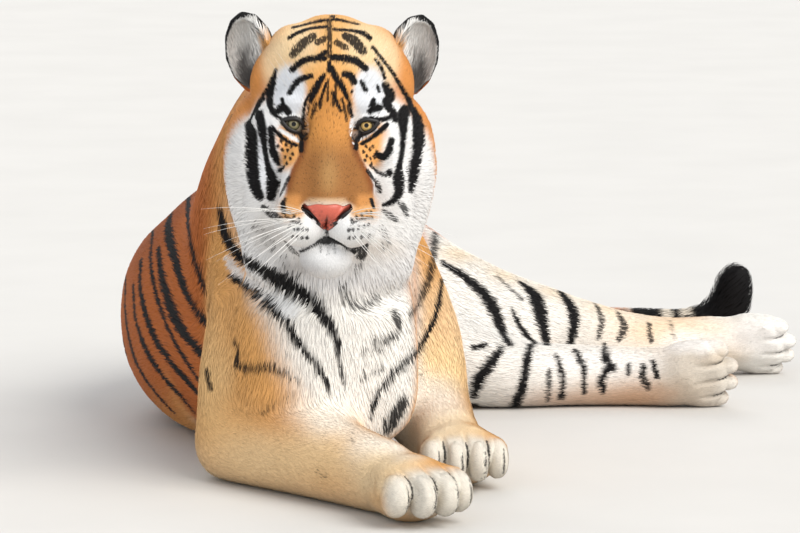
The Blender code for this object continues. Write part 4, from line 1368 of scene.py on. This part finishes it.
# A tuft's seven points: three round its root, three round its bend, and its tip.
LEVELS = np.array([0, 0, 0, 1, 1, 1, 2])                        # root, bend or tip
STRANDS = np.array([0, 2, 1, 0, 2, 1, 1])                       # where round the tuft, for its fine lines
PATCH_ACROSS = np.array([0, 1, 0.5, 0.2, 0.8, 0.5, 0.5]) - 0.5  # where on its patch of the unwrap
PATCH_ALONG = np.array([0, 0, 0.2, 0.5, 0.5, 0.6, 1.0]) - 0.5
TUFT_LOOPS = np.array([3, 4, 1, 0, 4, 5, 2, 1, 5, 3, 0, 2, 6, 4, 3, 6, 5, 4, 6, 3, 5])     # its faces
TUFT_STARTS = np.array([0, 4, 8, 12, 15, 18])                   # and where each begins
LONG_DRAWS = (0.75, 1.2)    # each tuft draws its length, its width, how much it stands off the skin and
WIDE_DRAWS = (0.8, 1.25)    # how bright it is between these
LIFT_DRAWS = (0.55, 1.10)
BRIGHT_DRAWS = (0.93, 1.06)
TURN_DRAW = 0.13            # and how far it turns aside


def tuft_width(length):
    """The width of a tuft of a length."""
    return np.clip(0.0006 + 0.080 * length, THINNEST, THICKEST)


class Tufts:
    """Tufts as arrays, to be made into joined meshes."""

    def __init__(self, roots, spines, sides, ups, colours, patches):
        self.roots, self.spines, self.sides, self.ups = roots, spines, sides, ups
        self.colours, self.patches = colours, patches

    def mesh(self, name, pick):
        """One mesh of the picked tufts."""
        count = len(pick)
        rings = []
        for level, thick in ((0, 0.8), (1, 0.82)):
            middle = self.spines[pick, level]
            side, up = self.sides[pick, level] * thick, self.ups[pick, level] * thick
            rings.append(np.stack([middle - side, middle + side, middle + up], 1))
        corners = np.concatenate([*rings, self.spines[pick, 2][:, None]], 1)
        corners[:, :, 2] = np.maximum(corners[:, :, 2], TUFT_LOWEST)
        loops = (np.arange(count) * len(LEVELS))[:, None] + TUFT_LOOPS
        starts = (np.arange(count) * len(TUFT_LOOPS))[:, None] + TUFT_STARTS
        mesh = bpy.data.meshes.new(name)
        mesh.vertices.add(count * len(LEVELS))
        mesh.loops.add(loops.size)
        mesh.polygons.add(starts.size)
        mesh.vertices.foreach_set("co", corners.ravel())
        mesh.loops.foreach_set("vertex_index", loops.ravel())
        mesh.polygons.foreach_set("loop_start", starts.ravel())
        mesh.polygons.foreach_set("use_smooth", np.ones(starts.size, bool))
        mesh.update(calc_edges=True)
        set_colours(mesh, self.colours[pick][:, LEVELS].reshape(-1, 3))
        rows = np.zeros((count, len(LEVELS), 3), np.float32)
        rows[:, :, 0] = STRANDS + 7.0 * (pick[:, None] % 97)
        rows[:, :, 1] = LEVELS * 0.5
        rows[:, :, 2] = pick[:, None] % 13
        mesh.attributes.new("strand", "FLOAT_VECTOR", "POINT").data.foreach_set("vector", rows.ravel())
        patch = self.patches[pick][:, None] + np.stack([PATCH_ACROSS, PATCH_ALONG], 1) * PATCH
        flat = patch.reshape(-1, 2)[loops.ravel()].astype(np.float32)
        mesh.uv_layers.new(name="OFBake").data.foreach_set("uv", flat.ravel())
        up, side = unit(self.ups[pick]), 0.25 * unit(self.sides[pick])
        shade = []
        for level in (0, 1):
            shade += [unit(up[:, level] - side[:, level]), unit(up[:, level] + side[:, level]), up[:, level]]
        shade.append(up[:, 1])
        mesh.normals_split_custom_set_from_vertices(np.stack(shade, 1).reshape(-1, 3))
        return mesh


def grow(points, triangles, normals, coat, tree, tint, patches_of, drop=None):
    """Tufts on a surface given as triangles; coat is its length, height and direction at its points."""
    length, height, way = coat
    corner = points[triangles]
    sizes = norm(np.cross(corner[:, 1] - corner[:, 0], corner[:, 2] - corner[:, 0])) / 2
    long = length[triangles].mean(1)
    fuller = 0.55 + 0.40 * smooth_step(long, 0.012, 0.024) + 0.4 * smooth_step(long, 0.023, 0.028)
    wanted = sizes * DENSITY * fuller / (long * tuft_width(long))
    if drop is not None:
        wanted = wanted * ~drop(corner.mean(1))
    total = np.cumsum(wanted)
    count = int(total[-1])
    face = np.searchsorted(total, (np.arange(count) + rng.random(count)) * total[-1] / count)
    face = np.minimum(face, len(triangles) - 1)
    a, b = rng.random(count), rng.random(count)
    flip = a + b > 1
    a[flip], b[flip] = 1 - a[flip], 1 - b[flip]
    weights = np.stack([1 - a - b, a, b], 1)[:, :, None]

    def at(values):
        return (values[triangles[face]] * (weights if values.ndim == 2 else weights[:, :, 0])).sum(1)

    def onto_surface(guess):
        found = [tree.find_nearest(Vector(place)) for place in guess]
        return np.array([item[0] for item in found]), np.array([item[2] for item in found])

    root, up, ahead = at(points), unit(at(normals)), unit(at(way))
    long = at(length) * rng.uniform(*LONG_DRAWS, count)
    high = at(length) * at(height)
    wide = tuft_width(at(length)) * rng.uniform(*WIDE_DRAWS, count)
    ahead = unit(ahead + np.cross(up, ahead) * rng.normal(0, TURN_DRAW, count)[:, None])
    face_up = unit(normals[triangles].mean(1))
    face_way = unit(way[triangles].mean(1))
    middle, near = onto_surface(root + ahead * long[:, None] * 0.5)
    middle_up = unit(face_up[near] + up)
    ahead_two = unit(ahead + 0.8 * face_way[near])
    tip, near_tip = onto_surface(middle + ahead_two * long[:, None] * 0.5)
    tip_up = unit(face_up[near_tip] + middle_up)
    lift = (high * rng.uniform(*LIFT_DRAWS, count))[:, None]
    spine = np.stack([root - up * ROOT_DEEP, middle + middle_up * (0.75 * lift), tip + tip_up * lift], 1)
    side = np.stack([unit(np.cross(ahead, up)), unit(np.cross(ahead_two, middle_up))], 1)
    ups = np.stack([up, middle_up], 1) * (wide * TUFT_THICK)[:, None, None]
    bright = rng.uniform(*BRIGHT_DRAWS, count)[:, None]
    jitter = rng.uniform(*DRAWS, count)
    first, last = tint((root, middle, tip), (face, near, near_tip), jitter)
    # painted shade at each tuft's root and painted light at its tip
    colours = np.stack([first * 0.96, (first + last) / 2, last * 1.02], 1) * bright[:, None]
    return Tufts(root, spine, side * (wide / 2)[:, None, None], ups, np.minimum(colours, 1.0),
                 patches_of(face, weights)), face


# Materials.

def fill(tree, node, inputs):
    """Link a node's sockets to others, or set their values."""
    for key, value in inputs.items():
        if isinstance(value, bpy.types.NodeSocket):
            tree.links.new(value, node.inputs[key])
        else:
            node.inputs[key].default_value = value


def new_node(tree, kind, inputs, **settings):
    """The outputs of a new shader node."""
    node = tree.nodes.new("ShaderNode" + kind)
    for key, value in settings.items():
        setattr(node, key, value)
    fill(tree, node, inputs)
    return node.outputs


def painted(tree, name="coat", output="Color"):
    """A mesh's own colour, or another of its attributes."""
    return new_node(tree, "Attribute", {}, attribute_name=name)[output]


def new_material(name, roughness, specular):
    """A material with its Principled shader."""
    material = bpy.data.materials.new(name)
    material.use_nodes = True
    tree = material.node_tree
    shader = tree.nodes["Principled BSDF"]
    fill(tree, shader, {"Roughness": roughness, "Specular IOR Level": specular})
    return material, tree, shader


def object_place(tree):
    """A place on the object."""
    return new_node(tree, "TexCoord", {})["Object"]


def stretched(tree, place, scale):
    """A place stretched by three numbers."""
    return new_node(tree, "Mapping", {"Vector": place, "Scale": scale})["Vector"]


def noise_at(tree, place, scale, detail=3.0):
    """A noise texture read at a place."""
    return new_node(tree, "TexNoise", {"Scale": scale, "Detail": detail, "Vector": place})["Fac"]


def shaded_colour(tree, colour, value, spread):
    """A colour made lighter and darker by a value: spread is from low and high to dark and light."""
    keys = dict(zip(("From Min", "From Max", "To Min", "To Max"), spread))
    light = new_node(tree, "MapRange", {**keys, "Value": value})["Result"]
    return new_node(tree, "VectorMath", {0: colour, "Scale": light}, operation="SCALE")["Vector"], light


def finish(tree, shader, colour, height, strength, distance):
    """Put a colour and a bump on a shader."""
    bump = new_node(tree, "Bump", {"Strength": strength, "Distance": distance, "Height": height})["Normal"]
    fill(tree, shader, {"Base Color": colour, "Normal": bump})


def fur_material():
    """Tufts: the painted colour, with fine lines along each tuft."""
    material, tree, shader = new_material("fur", 0.72, 0.22)
    lines = noise_at(tree, stretched(tree, painted(tree, "strand", "Vector"), (5.0, 0.7, 1.0)), 1.0, 2.0)
    colour, _ = shaded_colour(tree, painted(tree), lines, (0.3, 0.7, 0.93, 1.07))
    finish(tree, shader, colour, lines, 0.35, 0.0006)
    return material


def skin_material():
    """The skin under the coat: the painted colour with short, flat fur as bump."""
    material, tree, shader = new_material("skin", 0.8, 0.15)
    hairs = noise_at(tree, stretched(tree, object_place(tree), (1.0, 1.0, 0.35)), 900.0)
    colour, _ = shaded_colour(tree, painted(tree), hairs, (0.3, 0.7, 0.90, 1.04))
    finish(tree, shader, colour, hairs, 0.5, 0.0010)
    return material


def leather_material(name, grain, depth, roughness, coat=0.0, specular=0.45):
    """Leather, or a wet eye: the painted colour with a fine grain."""
    material, tree, shader = new_material(name, roughness, specular)
    fill(tree, shader, {"Coat Weight": coat, "Coat Roughness": 0.05 if coat > 0.5 else 0.12})
    cells = new_node(tree, "TexVoronoi", {"Scale": grain, "Vector": object_place(tree)})["Distance"]
    colour, light = shaded_colour(tree, painted(tree), cells, (0.0, 0.8, 1.06, 0.78))
    finish(tree, shader, colour, light, 0.6, depth)
    return material


def horn_material():
    """Claws: pale horn with growth lines, darker at the root."""
    material, tree, shader = new_material("claw_horn", 0.32, 0.5)
    lines = noise_at(tree, stretched(tree, object_place(tree), (1.0, 1.0, 3.0)), 160.0)
    ramp = tree.nodes.new("ShaderNodeValToRGB")
    tones = ((0.3, paint(70, 58, 50)), (0.7, paint(168, 150, 126)))
    for stop, (place, colour) in zip(ramp.color_ramp.elements, tones):
        stop.position, stop.color = place, (*colour, 1)
    fill(tree, ramp, {"Fac": lines})
    finish(tree, shader, ramp.outputs["Color"], lines, 0.3, 0.0004)
    return material


def floor_material():
    """The floor's even colour with a faint mottle."""
    material, tree, shader = new_material("floor", 0.8, 0.1)
    mottle = noise_at(tree, object_place(tree), 3.0)
    colour, _ = shaded_colour(tree, (0.62, 0.605, 0.58), mottle, (0.3, 0.7, 0.98, 1.02))
    fill(tree, shader, {"Base Color": colour})
    return material


FUR = fur_material()
SKIN = skin_material()
EYE = leather_material("eye", 4000.0, 0.00002, 0.30, 0.7, 0.1)
LEATHER = leather_material("nose_leather", 900.0, 0.0006, 0.42, 0.15)
LID_SKIN = leather_material("lid_skin", 1500.0, 0.0002, 0.50, 0.1)
HORN = horn_material()
WHISKER = leather_material("whisker", 600.0, 0.0001, 0.35)

dress(skin, SKIN, "orange_coat", *[name for name in flesh_names if not name.startswith(("eye", "nose"))])
triangles = triangles_of(skin.data)
corner = points[triangles]
facing = unit(np.cross(corner[:, 1] - corner[:, 0], corner[:, 2] - corner[:, 0]))
unwrap = Unwrap(corner, lie.label[triangles[:, 0]], facing)
flat_uv = np.zeros((len(skin.data.loops), 2), np.float32)
flat_uv[values_of(skin.data.loop_triangles, "loops", 3, int).ravel()] = unwrap.place.reshape(-1, 2)
skin.data.uv_layers.new(name="OFBake").data.foreach_set("uv", flat_uv.ravel())


def skin_tint(places, faces, jitter):
    """Colours of tufts on the skin, near their roots and near their tips."""
    root, middle, tip = places
    out = []
    for place, near in (((root + tip) / 2, faces[1]), ((middle + tip) / 2, faces[2])):
        corners = triangles[near]
        out.append(coat_colours(ground[corners].mean(1), place, lie.label[corners[:, 0]], jitter))
    return out


def bare(middles):
    """Places with no tufts: the eyes, the nose leather, and what lies on the floor."""
    on_nose = inside(on_plane(middles), nose_loop(-2.0)) & (to_head(middles)[:, 1] < NOSE_AHEAD)
    return (middles[:, 2] < 0.003) | in_eyes(middles, 2.0) | on_nose


# The nose leather: a sheet over the front of the face's field.

NOSE_STEP = 0.8             # gap between the sheet's points, in millimetres of the picture plane
NOSE_MIDDLE = -5
NOSTRIL = [(41, -127), (36, -132), (30, -138), (23, -145), (17, -152)]      # its slit, from the nose's middle
WING_BELOW = [120, 127, 131, 136, 142, 149, 156]        # how far the leather's wings reach aside, by height
WING_ASIDE = [39, 40, 36, 30, 23.5, 18, 13]


def onto_face(across, above):
    """Where rays through the picture plane first meet the face's field."""
    place = to_head(np.array(camera_place)[None])
    ways = np.array([ray_to(a, b) for a, b in zip(across, above)]) @ head_axes.T
    reach = np.full(len(ways), np.linalg.norm(place) - 0.30)
    for _ in range(60):
        reach += 0.8 * face_field(place + ways * reach[:, None])
    return place + ways * reach[:, None]


def nearest_gap(places, others):
    """How far each place is from the nearest of some others."""
    return norm(places[:, None] - others[None]).min(1)


def make_nose():
    """The nose leather, with its nostrils pressed in."""
    loop = nose_loop()
    low, high = loop.min(0) - 4, loop.max(0) + 4
    across = np.arange(low[0], high[0], NOSE_STEP)
    above = np.arange(low[1], high[1], NOSE_STEP)
    grid = np.array([(a, b) for b in above for a in across])
    keep = inside(grid, nose_loop(2.6))
    local = onto_face(grid[:, 0], grid[:, 1])
    edge = nearest_gap(grid, loop)
    edge = np.where(inside(grid, loop), edge, -edge)
    off, below = grid[:, 0] - NOSE_MIDDLE, -grid[:, 1]
    nostril, rim, wing = np.zeros((3, len(grid)))
    for sign in (-1, 1):
        away = nearest_gap(grid, smooth_line(np.array(NOSTRIL, float) * (sign, 1) + (NOSE_MIDDLE, 0), 1.0))
        nostril = np.maximum(nostril, fall(away, 1.2, 4.4))
        rim = np.maximum(rim, np.exp(-((away - 7.0) / 2.0) ** 2))
        wing = np.maximum(wing, smooth_step(off * sign - np.interp(below, WING_BELOW, WING_ASIDE), -3.0, 0.5))
    middle = np.exp(-(off / 1.6) ** 2) * smooth_step(below, 140, 150)
    proud = 0.0072 * smooth_step(edge, -2.8, 3.5) - 0.0042 - 0.011 * nostril + 0.0012 * rim - 0.0025 * middle
    places = from_head(local + out_of_face(local) * proud[:, None])
    index = np.full(len(grid), -1)
    index[keep] = np.arange(keep.sum())
    wide = len(across)
    faces = []
    for row in range(len(above) - 1):
        for column in range(wide - 1):
            first = row * wide + column
            corner = [first, first + 1, first + wide + 1, first + wide]
            if keep[corner].all():
                faces.append(index[corner].tolist())
    spot = nearest_gap(grid, rng.random((40, 2)) * (high - low) + low)
    low_spot = nearest_gap(grid, rng.random((70, 2)) * (44, 26) + (-27, -168))
    colour = mix(paint(204, 96, 76), paint(150, 70, 60), 0.55 * fall(spot, 0.8, 2.6))
    colour = mix(colour, paint(46, 26, 26), 0.85 * fall(low_spot, 0.6, 1.8) * smooth_step(below, 144, 154))
    colour = mix(colour, paint(60, 34, 32), 0.9 * fall(edge, 0.5, 3.0))
    colour = mix(colour, paint(30, 20, 20), np.maximum(np.maximum(nostril, wing), middle * 0.8))
    add_shape("nose_leather", places[keep].tolist(), faces, colour[keep], LEATHER, "nose_leather", "nose")


# Eyes and lids.

IRIS = math.radians(29)
PUPIL = math.radians(10.5)
EYE_SIDES = 96
# the right eye's darker iris colours are painted shade, for its side away from the key light
EYE_COLOURS = {"left": (paint(226, 186, 112), paint(160, 140, 90)),
               "right": (paint(146, 136, 100), paint(102, 102, 80))}
CORNEA = 0.055              # how far the cornea bulges, as a share of the eye's radius
LID_LIFT = 0.0004


def make_eye(side):
    """An eyeball with its rings about the way it looks."""
    centre = eye_middles[side]
    gaze = unit(camera_place - centre)
    right = unit(np.cross(gaze, (0.0, 0.0, 1.0)))
    up = np.cross(right, gaze)
    angles = np.concatenate([np.linspace(0.0, IRIS * 1.25, 44), np.linspace(IRIS * 1.3, math.pi * 0.995, 30)])
    turns = np.arange(EYE_SIDES) / EYE_SIDES * 2 * math.pi
    around = np.cos(turns)[:, None] * right + np.sin(turns)[:, None] * up
    points, colours = [], []
    inner, outer = EYE_COLOURS[side]
    streak = rng.random(EYE_SIDES)
    streak = (streak + np.roll(streak, 1)) / 2
    for angle in angles:
        bulge = 1.0 + CORNEA * fall(angle, 0.3 * IRIS, 1.15 * IRIS)
        points.append(centre + (gaze * math.cos(angle) + around * math.sin(angle)) * (eye_radius * bulge))
        tone = mix(inner, outer, smooth_step(angle, PUPIL, IRIS)) * (0.72 + 0.5 * streak)[:, None]
        tone = mix(tone, paint(30, 26, 18), smooth_step(angle, IRIS * 0.82, IRIS * 0.98))
        tone = mix(tone, paint(150, 136, 118), smooth_step(angle, IRIS * 1.0, IRIS * 1.12))
        colours.append(mix(tone, paint(4, 4, 4), fall(angle, PUPIL * 0.92, PUPIL * 1.08)))
    # The first ring is a single point, so the others' points are numbered from 1.
    rows = len(angles) - 1

    def corner(row, column):
        return 1 + row * EYE_SIDES + column % EYE_SIDES

    faces = [(corner(r, c), corner(r, c + 1), corner(r + 1, c + 1), corner(r + 1, c))
             for r in range(rows - 1) for c in range(EYE_SIDES)]
    faces += [(0, corner(0, c + 1), corner(0, c)) for c in range(EYE_SIDES)][::-1]
    faces.append(tuple(corner(rows - 1, c) for c in range(EYE_SIDES)))
    points = np.concatenate([points[0][:1], *points[1:]])
    colours = np.concatenate([colours[0][:1], *colours[1:]])
    add_shape("eyeball_" + side, points.tolist(), faces, colours, EYE, "eye", "eye_" + side, closed=True)


def tube(path, ups, wide, high, sides, closed):
    """A tube's points and faces; wide and high are its half sizes along each point of the path."""
    ahead = np.roll(path, -1, 0) - np.roll(path, 1, 0) if closed else np.gradient(path, axis=0)
    across = unit(np.cross(ahead, ups))
    up = unit(np.cross(across, ahead))
    turns = (np.arange(sides) / sides * 2 * math.pi)[None, :, None]
    rings = (path[:, None] + across[:, None] * (np.cos(turns) * wide[:, None, None])
             + up[:, None] * (np.sin(turns) * high[:, None, None]))
    count = len(path)
    faces = []
    for row in range(count if closed else count - 1):
        here, after = row * sides, (row + 1) % count * sides
        for side in range(sides):
            turn = (side + 1) % sides
            faces.append((here + side, here + turn, after + turn, after + side))
    if not closed:
        faces.append(tuple(range(sides))[::-1])
        faces.append(tuple((count - 1) * sides + side for side in range(sides)))
    return rings.reshape(-1, 3), faces


def make_lids(side):
    """The dark rims of the eyelids, on the eyeball round its opening."""
    loop = eye_loop(side, 0.6)
    local = onto_face(*(loop + eyes_on_plane[side][0]).T)
    path = from_head(local + out_of_face(local) * LID_LIFT)
    upper = smooth_step(loop[:, 1], -6, 6)
    wide, high = 0.0026 + 0.0010 * upper, 0.0022 + 0.0012 * upper
    points, faces = tube(path, path - eye_middles[side], wide, high, 10, True)
    add_shape("lids_" + side, points.tolist(), faces, paint(20, 15, 15), LID_SKIN, "nose_leather")


# Whiskers: rows on the pads, each at a height, from one place aside to another, and how many; and
# the places of a few over the eyes.

WHISKER_ROWS = [(-141, 34, 68, 6), (-150, 32, 70, 6), (-160, 30, 68, 6), (-170, 30, 62, 5)]
BROW_WHISKERS = [(60, 66), (68, 60), (55, 74)]
WHISKER_THICK = 0.00065
BROW_THICK = 0.00045


def make_whiskers():
    """Long stiff hairs on the pads and a few over the eyes."""
    points, faces = [], []
    for sign in (-1, 1):
        starts = [(sign * (low + (high - low) * (index + 0.5) / count) - 2, above + rng.uniform(-2, 2), False)
                  for above, low, high, count in WHISKER_ROWS for index in range(count)]
        starts += [(sign * across, above, True) for across, above in BROW_WHISKERS]
        for across, above, brow in starts:
            local = onto_face([across], [above])[0]
            out = out_of_face(local[None])[0]
            share = 0.5 if brow else smooth_step(abs(across), 28, 70)
            long = rng.uniform(0.045, 0.075) if brow else rng.uniform(0.06, 0.10) + 0.045 * share
            slope = np.interp(above, [-175, -140], [-0.75, 0.15]) + rng.uniform(-0.22, 0.22)
            aim = np.array((sign * 0.3, -0.5, 0.8) if brow else (sign * (0.8 + 0.4 * share), -0.45, slope))
            aim = unit(aim + 0.35 * out)
            droop = np.array((sign * 0.25, 0.45, 0.2 if brow else -0.35)) * rng.uniform(0.6, 1.2)
            steps = np.linspace(0, 1, 10)[:, None]
            path = from_head(local - out * 0.001 + aim * long * steps + droop * long * 0.7 * steps ** 2)
            thick = (BROW_THICK if brow else WHISKER_THICK) * (1 - 0.88 * steps[:, 0])
            some, quads = tube(path, np.tile((0.1, 0.2, 1.0), (10, 1)), thick, thick, 4, False)
            faces += [tuple(corner + len(points) for corner in quad) for quad in quads]
            points += some.tolist()
    add_shape("whiskers", points, faces, paint(244, 242, 238), WHISKER, "white_coat")


# Ears.

EAR_FOCUS = (0.0, -0.05, 0.0)       # the inside of an ear faces this place, from the ear's middle
EAR_GRAIN = 0.0022
EAR_PATCH = 0.1                     # size of an ear's unwrap beside the skin's, and where it lies on it
EAR_PATCH_AT = 0.89


class Ear:
    """The shape of an ear as its colours need it: where it lies in the picture plane, and its focus."""

    def __init__(self, side):
        low, high = (np.array(corner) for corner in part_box("ear_" + side))
        corners = on_plane(np.array([low, high]))
        self.focus = (low + high) / 2 + np.array(EAR_FOCUS)
        self.centre = corners.mean(0)
        self.half = np.abs(corners[1] - corners[0]) / 2
        self.outer = -1 if side == "right" else 1

    def off(self, places):
        """How far places lie from the ear's middle, outwards and up, as shares of its half sizes."""
        return ((on_plane(places) - self.centre) / self.half) * (self.outer, 1)

    def turned(self, places, normals):
        """How far places face the ear's focus, from -1 to 1."""
        return (unit(self.focus - places) * normals).sum(1)

    def cup_share(self, places, normals):
        """1 inside the ear's cup, 0 on its back."""
        return smooth_step(self.turned(places, normals), -0.35, -0.10)

    def colours(self, places, normals, jitter):
        """The ear's coat: grey and white in its cup with a black rim, black behind with a pale spot."""
        aside, above = self.off(places).T
        away = np.hypot(aside, np.maximum(above, -0.2)) * jitter ** 0.25
        hole = np.hypot((aside - 0.1) / 0.62, (above + 0.45) / 0.80)
        inner = mix(paint(206, 204, 200), paint(42, 38, 37), fall(hole, 0.35, 1.15) * 0.92)
        inner = mix(inner, paint(150, 144, 140), smooth_step(aside, 0.3, 0.8) * 0.4)
        streaks = fall(aside, -0.4, 0.35) * smooth_step(above, -0.5, 0.0)
        inner = mix(inner, paint(244, 242, 238), 0.9 * streaks * smooth_step(jitter, 0.92, 1.0))
        rim = smooth_step(away, 0.90, 0.96) * smooth_step(aside, -0.65, -0.35)
        side_rim = fall(self.turned(places, normals), 0.10, 0.35) * smooth_step(aside, 0.0, 0.3)
        inner = mix(inner, BLACK, np.maximum(rim, side_rim))
        gold = smooth_step(-aside, 0.25, 0.6) * fall(above, 0.2, 0.7)
        inner = mix(inner, GOLD, gold * smooth_step(away, 0.4, 0.6))
        spot = np.hypot(aside + 0.1, above - 0.1)
        back = mix(BLACK, paint(235, 230, 224), fall(spot, 0.22, 0.34))
        back = mix(back, ORANGE, fall(above, -0.75, -0.45))
        return mix(back, inner, self.cup_share(places, normals))


def make_ear(side):
    """An ear's skin, grown from its CAD node, with its own coat."""
    ear = Ear(side)
    item = new_object("ear_skin_" + side, nodes["ear_" + side].data.copy())
    mesh = remeshed(item, EAR_GRAIN)
    around = Neighbours(mesh)
    start = places_of(mesh)
    points = around.relaxed(start, 10)
    points = points + around.relaxed(start - points, 4) * 0.6
    move_points(mesh, points)
    mesh.shade_smooth()
    normals = normals_of(mesh)
    triangles = triangles_of(mesh)
    face_normals = unit(normals[triangles].mean(1))
    off = ear.off(points)
    front = ear.cup_share(points, normals)
    fringe = front * fall(off[:, 0], -0.6, 0.1)
    length = 0.007 + 0.009 * front * fall(np.hypot(*off.T), 0.6, 0.9) + 0.008 * fringe
    way = np.column_stack([(off[:, 0] + 0.7 * fringe) * ear.outer, np.zeros(len(off)), off[:, 1] + 0.9])
    way = unit(way)
    way = unit(way - normals * (way * normals).sum(1)[:, None])
    # painted shade: the ear's skin under its coat is darker
    set_colours(mesh, ear.colours(points, normals, np.ones(len(points))) * 0.9)
    dress(item, SKIN, "black_coat", "ear_" + side)
    unwrap = Unwrap(points[triangles], np.zeros(len(triangles), int), face_normals)

    def tint(places, faces, jitter):
        colour = ear.colours((places[0] + places[2]) / 2, face_normals[faces[0]], jitter)
        return colour, colour

    tufts, _ = grow(points, triangles, normals, (length, 0.12 + 0.16 * fringe, way),
                    BVHTree.FromPolygons(points.tolist(), triangles.tolist()), tint,
                    lambda face, weights: (unwrap.place[face] * weights).sum(1) * EAR_PATCH + EAR_PATCH_AT)
    add_coat("coat_ear_" + side, tufts, np.arange(len(tufts.roots)), "black_coat")


def add_coat(name, tufts, pick, slot):
    """A coat piece in the scene."""
    dress(new_object(name, tufts.mesh(name, pick)), FUR, slot)


# The pieces of the coat, by the nodes under them.

COAT_PIECES = {
    "coat_head": (HEAD_PARTS, "white_coat"),
    "coat_neck": (("neck",), "orange_coat"),
    "coat_chest": (("chest",), "pale_coat"),
    "coat_trunk": (("trunk",), "orange_coat"),
    "coat_hips": (("hips",), "orange_coat"),
    "coat_forelegs": (("foreleg", "forearm", "forepaw"), "pale_coat"),
    "coat_hindlegs": (("thigh", "shank", "hindpaw"), "white_coat"),
    "coat_tail": (("tail",), "black_coat"),
}

tufts, tuft_faces = grow(points, triangles, normals, (lie.length, lie.height, lie.way),
                         BVHTree.FromPolygons(points.tolist(), triangles.tolist()), skin_tint,
                         lambda face, weights: (unwrap.place[face] * weights).sum(1), bare)
tuft_labels = lie.label[triangles[tuft_faces][:, 0]]
for name, (starts, slot) in COAT_PIECES.items():
    pick = np.flatnonzero(label_share(tuft_labels, starts) > 0)
    parts = -(-len(pick) // FULL_PIECE)
    if parts == 1:
        add_coat(name, tufts, pick, slot)
        continue
    order = pick[np.argsort(tufts.roots[pick, 0])]
    for number, part in enumerate(np.array_split(order, parts), 1):
        add_coat(f"{name}_{number}", tufts, np.sort(part), slot)

make_nose()
for side in eye_middles:
    make_eye(side)
    make_lids(side)
    make_ear(side)
make_whiskers()
for name in nodes:
    if name.startswith("claw"):
        nodes[name].material_slots[0].material = HORN


# Camera, light and floor.

FLOOR_SIZE = 60.0           # half the side of the floor
FLOOR_DEEP = 0.0005         # and how far it lies below the paws


def sun(name, place, power, spread, colour):
    """A wide, even light from the way of a place."""
    data = bpy.data.lights.new(name, "SUN")
    data.energy = power
    data.angle = math.radians(spread)
    data.color = colour
    new_object(name, data).rotation_euler = Vector(place).to_track_quat("Z", "Y").to_euler()


camera_data = bpy.data.cameras.new("camera")
camera_data.lens = LENS
camera_data.sensor_width = SENSOR
camera_data.clip_end = 500
camera = new_object("camera", camera_data)
camera.location = camera_place
camera.rotation_euler = (math.pi / 2 - CAMERA_DIP, 0, 0)
bpy.context.scene.camera = camera

sun("key", (1.0, -0.95, 1.2), 2.95, 42, (1.0, 0.97, 0.92))
sun("fill", (-0.9, -1.1, 0.7), 0.45, 60, (0.92, 0.96, 1.0))
sun("back", (-0.3, 1.0, 0.9), 0.7, 40, (1.0, 1.0, 1.0))
world = bpy.data.worlds.new("world")
bpy.context.scene.world = world
world.use_nodes = True
world.node_tree.nodes["Background"].inputs["Color"].default_value = (0.93, 0.96, 1.0, 1)
world.node_tree.nodes["Background"].inputs["Strength"].default_value = 0.70
bpy.context.scene.view_settings.view_transform = "Standard"

floor_mesh = bpy.data.meshes.new("floor")
floor_mesh.from_pydata([(x * FLOOR_SIZE, y * FLOOR_SIZE, 0) for x, y in ((-1, -1), (1, -1), (1, 1), (-1, 1))],
                       [], [(0, 1, 2, 3)])
floor = new_object("floor", floor_mesh)
floor.location.z = -FLOOR_DEEP
floor_mesh.materials.append(floor_material())
